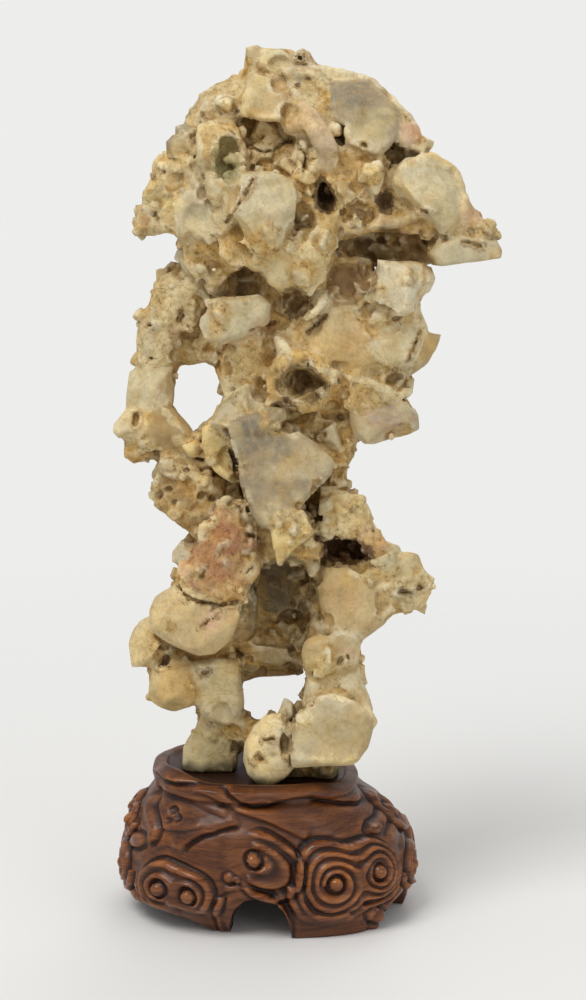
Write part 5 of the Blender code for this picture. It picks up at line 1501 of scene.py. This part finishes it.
# ---- materials -----------------------------------------------------------------------------------
class Shader:
    """Short ways to wire a material's nodes."""

    def __init__(self, name):
        self.material = bpy.data.materials.new(name)
        self.material.use_nodes = True
        self.tree = self.material.node_tree
        self.bsdf = self.tree.nodes["Principled BSDF"]
        self.place = self.tree.nodes.new("ShaderNodeTexCoord").outputs["Object"]

    def feed(self, socket, value):
        """Link a node's output to the socket, or set its value."""
        if isinstance(value, bpy.types.NodeSocket):
            self.tree.links.new(value, socket)
        else:
            socket.default_value = value

    def node(self, kind, **inputs):
        """A node whose inputs are named with _ for a space."""
        made = self.tree.nodes.new("ShaderNode" + kind)
        for name, value in inputs.items():
            self.feed(made.inputs[name.replace("_", " ")], value)
        return made

    def surface(self, **inputs):
        """What the surface's own sockets get."""
        for name, value in inputs.items():
            self.feed(self.bsdf.inputs[name.replace("_", " ")], value)

    def noise(self, size, detail, rough, distortion=0.0, place=None):
        """Noise whose blotches are about size millimetres, or one of a place's own units."""
        return self.node("TexNoise", Vector=place or self.place, Scale=1 if place else 1000 / size,
                         Detail=detail, Roughness=rough, Distortion=distortion).outputs["Fac"]

    def bent(self, source, amount):
        """The object's coordinates, bent by a field."""
        made = self.node("VectorMath")
        made.operation = "MULTIPLY_ADD"
        for socket, value in zip(made.inputs, (source, amount, self.place)):
            self.feed(socket, value)
        return made.outputs[0]

    def ramp(self, source, *stops):
        """A colour ramp with stops of (position, colour or grey)."""
        made = self.node("ValToRGB", Fac=source)
        ramp = made.color_ramp
        while len(ramp.elements) < len(stops):
            ramp.elements.new(.5)
        for element, (position, colour) in zip(ramp.elements, stops):
            element.position = position
            element.color = (*(colour if isinstance(colour, tuple) else (colour,) * 3), 1)
        return made.outputs["Color"]

    def maths(self, kind, a, b):
        made = self.node("Math")
        made.operation = kind
        self.feed(made.inputs[0], a)
        self.feed(made.inputs[1], b)
        return made.outputs["Value"]

    def mix(self, kind, share, a, b):
        """Two colours mixed by a share."""
        made = self.node("Mix")
        made.data_type, made.blend_type, made.clamp_factor = "RGBA", kind, True
        for i, value in ((0, share), (6, a), (7, b)):
            self.feed(made.inputs[i], (*value, 1) if isinstance(value, tuple) else value)
        return made.outputs[2]

    def attribute(self, name):
        made = self.node("Attribute")
        made.attribute_name = name
        return made.outputs["Color"]

    def channels(self, source):
        return self.node("SeparateColor", Color=source).outputs

    def bump(self, height, distance, strength, **below):
        """Small relief, on top of the relief below it."""
        made = self.node("Bump", Height=height, Strength=strength, Distance=distance, **below)
        return made.outputs["Normal"]


def stone_material():
    """Pale mottled stone, and a crust of ochre cement with small broken bits where the state says so."""
    s = Shader("stone")
    cement = s.channels(s.attribute("state"))["Red"]
    swirl = s.node("TexNoise", Vector=s.place, Scale=260, Detail=3, Roughness=.6).outputs["Color"]
    bits = s.node("TexVoronoi", Vector=s.bent(swirl, (.0035, .0035, .0035)), Scale=1000 / 2.6)
    bit = s.channels(bits.outputs["Color"])
    blotch, broad = s.noise(9, 6, .62, .3), s.noise(24, 3, .6, .6)
    vein = s.ramp(s.noise(17, 5, .6, 1.2), (.478, 0.0), (.5, 1.0), (.522, 0.0))
    pore = s.ramp(s.noise(3.1, 4, .68, .9), (.30, 1.0), (.39, 0.0))
    crust = s.noise(2.4, 6, .7, .5)
    grain = s.noise(.7, 3, .7)

    colour = s.mix("MULTIPLY", 1.0, s.attribute("tone"),
                   s.ramp(blotch, (.3, (.78, .73, .60)), (.5, (1, 1, 1)), (.72, (1.14, 1.12, 1.05))))
    colour = s.mix("MULTIPLY", .8, colour,
                   s.ramp(broad, (.34, (1.10, 1.0, .78)), (.5, (1, 1, 1)), (.66, (.90, .93, .98))))
    veined = s.maths("MULTIPLY", vein, s.maths("SUBTRACT", .55, s.maths("MULTIPLY", cement, .4)))
    colour = s.mix("MIX", veined, colour, (.50, .34, .14))
    broken = s.ramp(bit["Green"], (.1, (.80, .68, .50)), (.45, (1, .97, .90)), (.9, (1.16, 1.16, 1.12)))
    colour = s.mix("MULTIPLY", s.maths("MULTIPLY", cement, .55), colour, broken)
    porous = s.maths("MULTIPLY", s.maths("MULTIPLY", pore, cement), .8)
    colour = s.mix("MIX", porous, colour, (.15, .075, .028))
    colour = s.mix("MULTIPLY", s.maths("ADD", .35, s.maths("MULTIPLY", cement, .6)), colour,
                   s.ramp(crust, (.34, (.50, .38, .22)), (.47, (.95, .90, .80)), (.6, (1.08, 1.06, 1.0))))
    colour = s.mix("MULTIPLY", .35, colour, s.ramp(grain, (.3, (.8, .78, .72)), (.6, (1.08, 1.08, 1.08))))

    matt = s.maths("ADD", s.maths("MULTIPLY", cement, .5), s.maths("MULTIPLY", blotch, .5))
    lumps = s.maths("MULTIPLY", cement, s.maths("SUBTRACT", s.maths("MULTIPLY", bit["Red"], .35), pore))
    height = s.maths("ADD", lumps, s.maths("MULTIPLY", crust, s.maths("ADD", .25, cement)))
    s.surface(Base_Color=colour, Roughness=s.ramp(matt, (.2, .55), (.8, .9)), Specular_IOR_Level=.3,
              Normal=s.bump(height, .0011, .7, Normal=s.bump(grain, .0002, .5)))
    return s.material


def wood_material():
    """Waxed rosewood: reddish brown with dark grain; darker in the carving's grooves, painted shade with
    grime, and lighter on its ridges, a painted highlight with wear.
    """
    s = Shader("rosewood")
    depth = s.channels(s.attribute("state"))["Red"]
    bent = s.bent(s.noise(30, 3, .5), (.004, .004, .012))

    def fibres(across, thick, tall, detail, rough, distortion):
        """Noise drawn out along the grain: its blotches' size in millimetres each way."""
        place = s.node("Mapping", Vector=bent, Scale=(1000 / across, 1000 / thick, 1000 / tall),
                       Rotation=(0, math.radians(16), 0))
        return s.noise(None, detail, rough, distortion, place.outputs["Vector"])

    grain = fibres(46, 9, 3.2, 6, .62, .4)
    pores = fibres(14, 1.2, .45, 3, .6, 0)
    tone = s.ramp(grain, (.28, (.034, .0085, .003)), (.46, (.100, .031, .0095)), (.62, (.160, .054, .0155)),
                  (.8, (.21, .082, .027)))
    warm = s.ramp(s.noise(38, 3, .55), (.52, 0.0), (.72, .7))
    tone = s.mix("MIX", warm, tone, s.mix("MULTIPLY", 1.0, tone, (1.75, 1.75, 1.35)))
    tone = s.mix("MULTIPLY", .55, tone, s.ramp(pores, (.34, .28), (.5, 1.0)))
    # painted shade in the grooves and a painted highlight on the ridges, with grime and wear
    tone = s.mix("MULTIPLY", 1.0, tone, s.ramp(depth, (.1, (.12, .07, .05)), (.36, (.42, .35, .31)),
                                               (.5, (.95, .95, .97)), (.75, (1.75, 1.85, 1.95))))
    worn = s.ramp(s.noise(16, 4, .6), (.3, .30), (.7, .46))
    dull = s.maths("MULTIPLY", s.maths("SUBTRACT", .5, depth), .5)
    s.surface(Base_Color=tone, Roughness=s.maths("ADD", worn, dull), Specular_IOR_Level=.32, Coat_Weight=.1,
              Coat_Roughness=.28,
              Normal=s.bump(s.noise(5, 3, .5), .0006, .35, Normal=s.bump(pores, .0002, .35)))
    return s.material


def paper_material():
    """Pale paper that fades into the bright room with distance."""
    s = Shader("paper")
    s.surface(Base_Color=(.80, .80, .79, 1), Roughness=.8, Specular_IOR_Level=.2)
    away = s.node("VectorMath")
    away.operation = "LENGTH"
    s.feed(away.inputs[0], s.place)
    blend = s.node("MixShader", Fac=s.ramp(away.outputs["Value"], (.16, 0.0), (.75, 1.0)))
    s.feed(blend.inputs[1], s.bsdf.outputs[0])
    s.feed(blend.inputs[2], s.node("BsdfTransparent").outputs[0])
    s.feed(s.tree.nodes["Material Output"].inputs["Surface"], blend.outputs[0])
    return s.material


# ---- the floor, the lights and the camera --------------------------------------------------------
def add_floor():
    bm = bmesh.new()
    bmesh.ops.create_circle(bm, cap_ends=True, segments=96, radius=.8)
    mesh = bpy.data.meshes.new("floor")
    bm.to_mesh(mesh)
    bm.free()
    mesh.materials.append(paper_material())
    floor = add_object("floor", mesh)
    floor.location.z = -.0004


def add_lamp(name, place, size, power, colour=(1, 1, 1)):
    """A round soft lamp that shines on the object's middle."""
    light = bpy.data.lights.new(name, "AREA")
    light.shape, light.size, light.energy, light.color = "DISK", size, power, colour
    lamp = add_object(name, light)
    lamp.location = place
    lamp.rotation_euler = (Vector((0, 0, .19)) - Vector(place)).to_track_quat("-Z", "Y").to_euler()


def add_room():
    """Light from all round, and a paler tone where the room itself is seen."""
    world = bpy.data.worlds.new("studio")
    world.use_nodes = True
    tree = world.node_tree
    room, seen = tree.nodes["Background"], tree.nodes.new("ShaderNodeBackground")
    room.inputs["Color"].default_value = (1, .995, .985, 1)
    room.inputs["Strength"].default_value = .55
    seen.inputs["Color"].default_value = (.85, .85, .84, 1)
    path, blend = tree.nodes.new("ShaderNodeLightPath"), tree.nodes.new("ShaderNodeMixShader")
    for i, source in enumerate((path.outputs["Is Camera Ray"], room.outputs[0], seen.outputs[0])):
        tree.links.new(source, blend.inputs[i])
    tree.links.new(blend.outputs[0], tree.nodes["World Output"].inputs["Surface"])
    bpy.context.scene.world = world


def add_camera():
    camera = bpy.data.cameras.new("camera")
    camera.lens, camera.sensor_width, camera.clip_end = 100, 36, 100
    holder = add_object("camera", camera)
    holder.location = ((EYE.x + AXIS_SHIFT[0]) * MM, (EYE.y + AXIS_SHIFT[1]) * MM, EYE.z * MM)
    holder.rotation_euler = (math.radians(90 - EYE_DIP), 0, 0)
    bpy.context.scene.camera = holder
    bpy.context.scene.view_settings.view_transform = "Standard"
    bpy.context.scene.view_settings.look = "None"


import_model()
make_rock(stone_material())
make_stand(wood_material())
add_floor()
add_room()
add_lamp("key", (-.85, -1.05, 2.1), 1.3, 30, (1, .99, .97))
add_lamp("fill", (1.2, -1.7, .8), 1.2, 5, (.98, .99, 1))
add_lamp("rim", (.3, 1.0, 1.6), 1.0, 5)
add_camera()
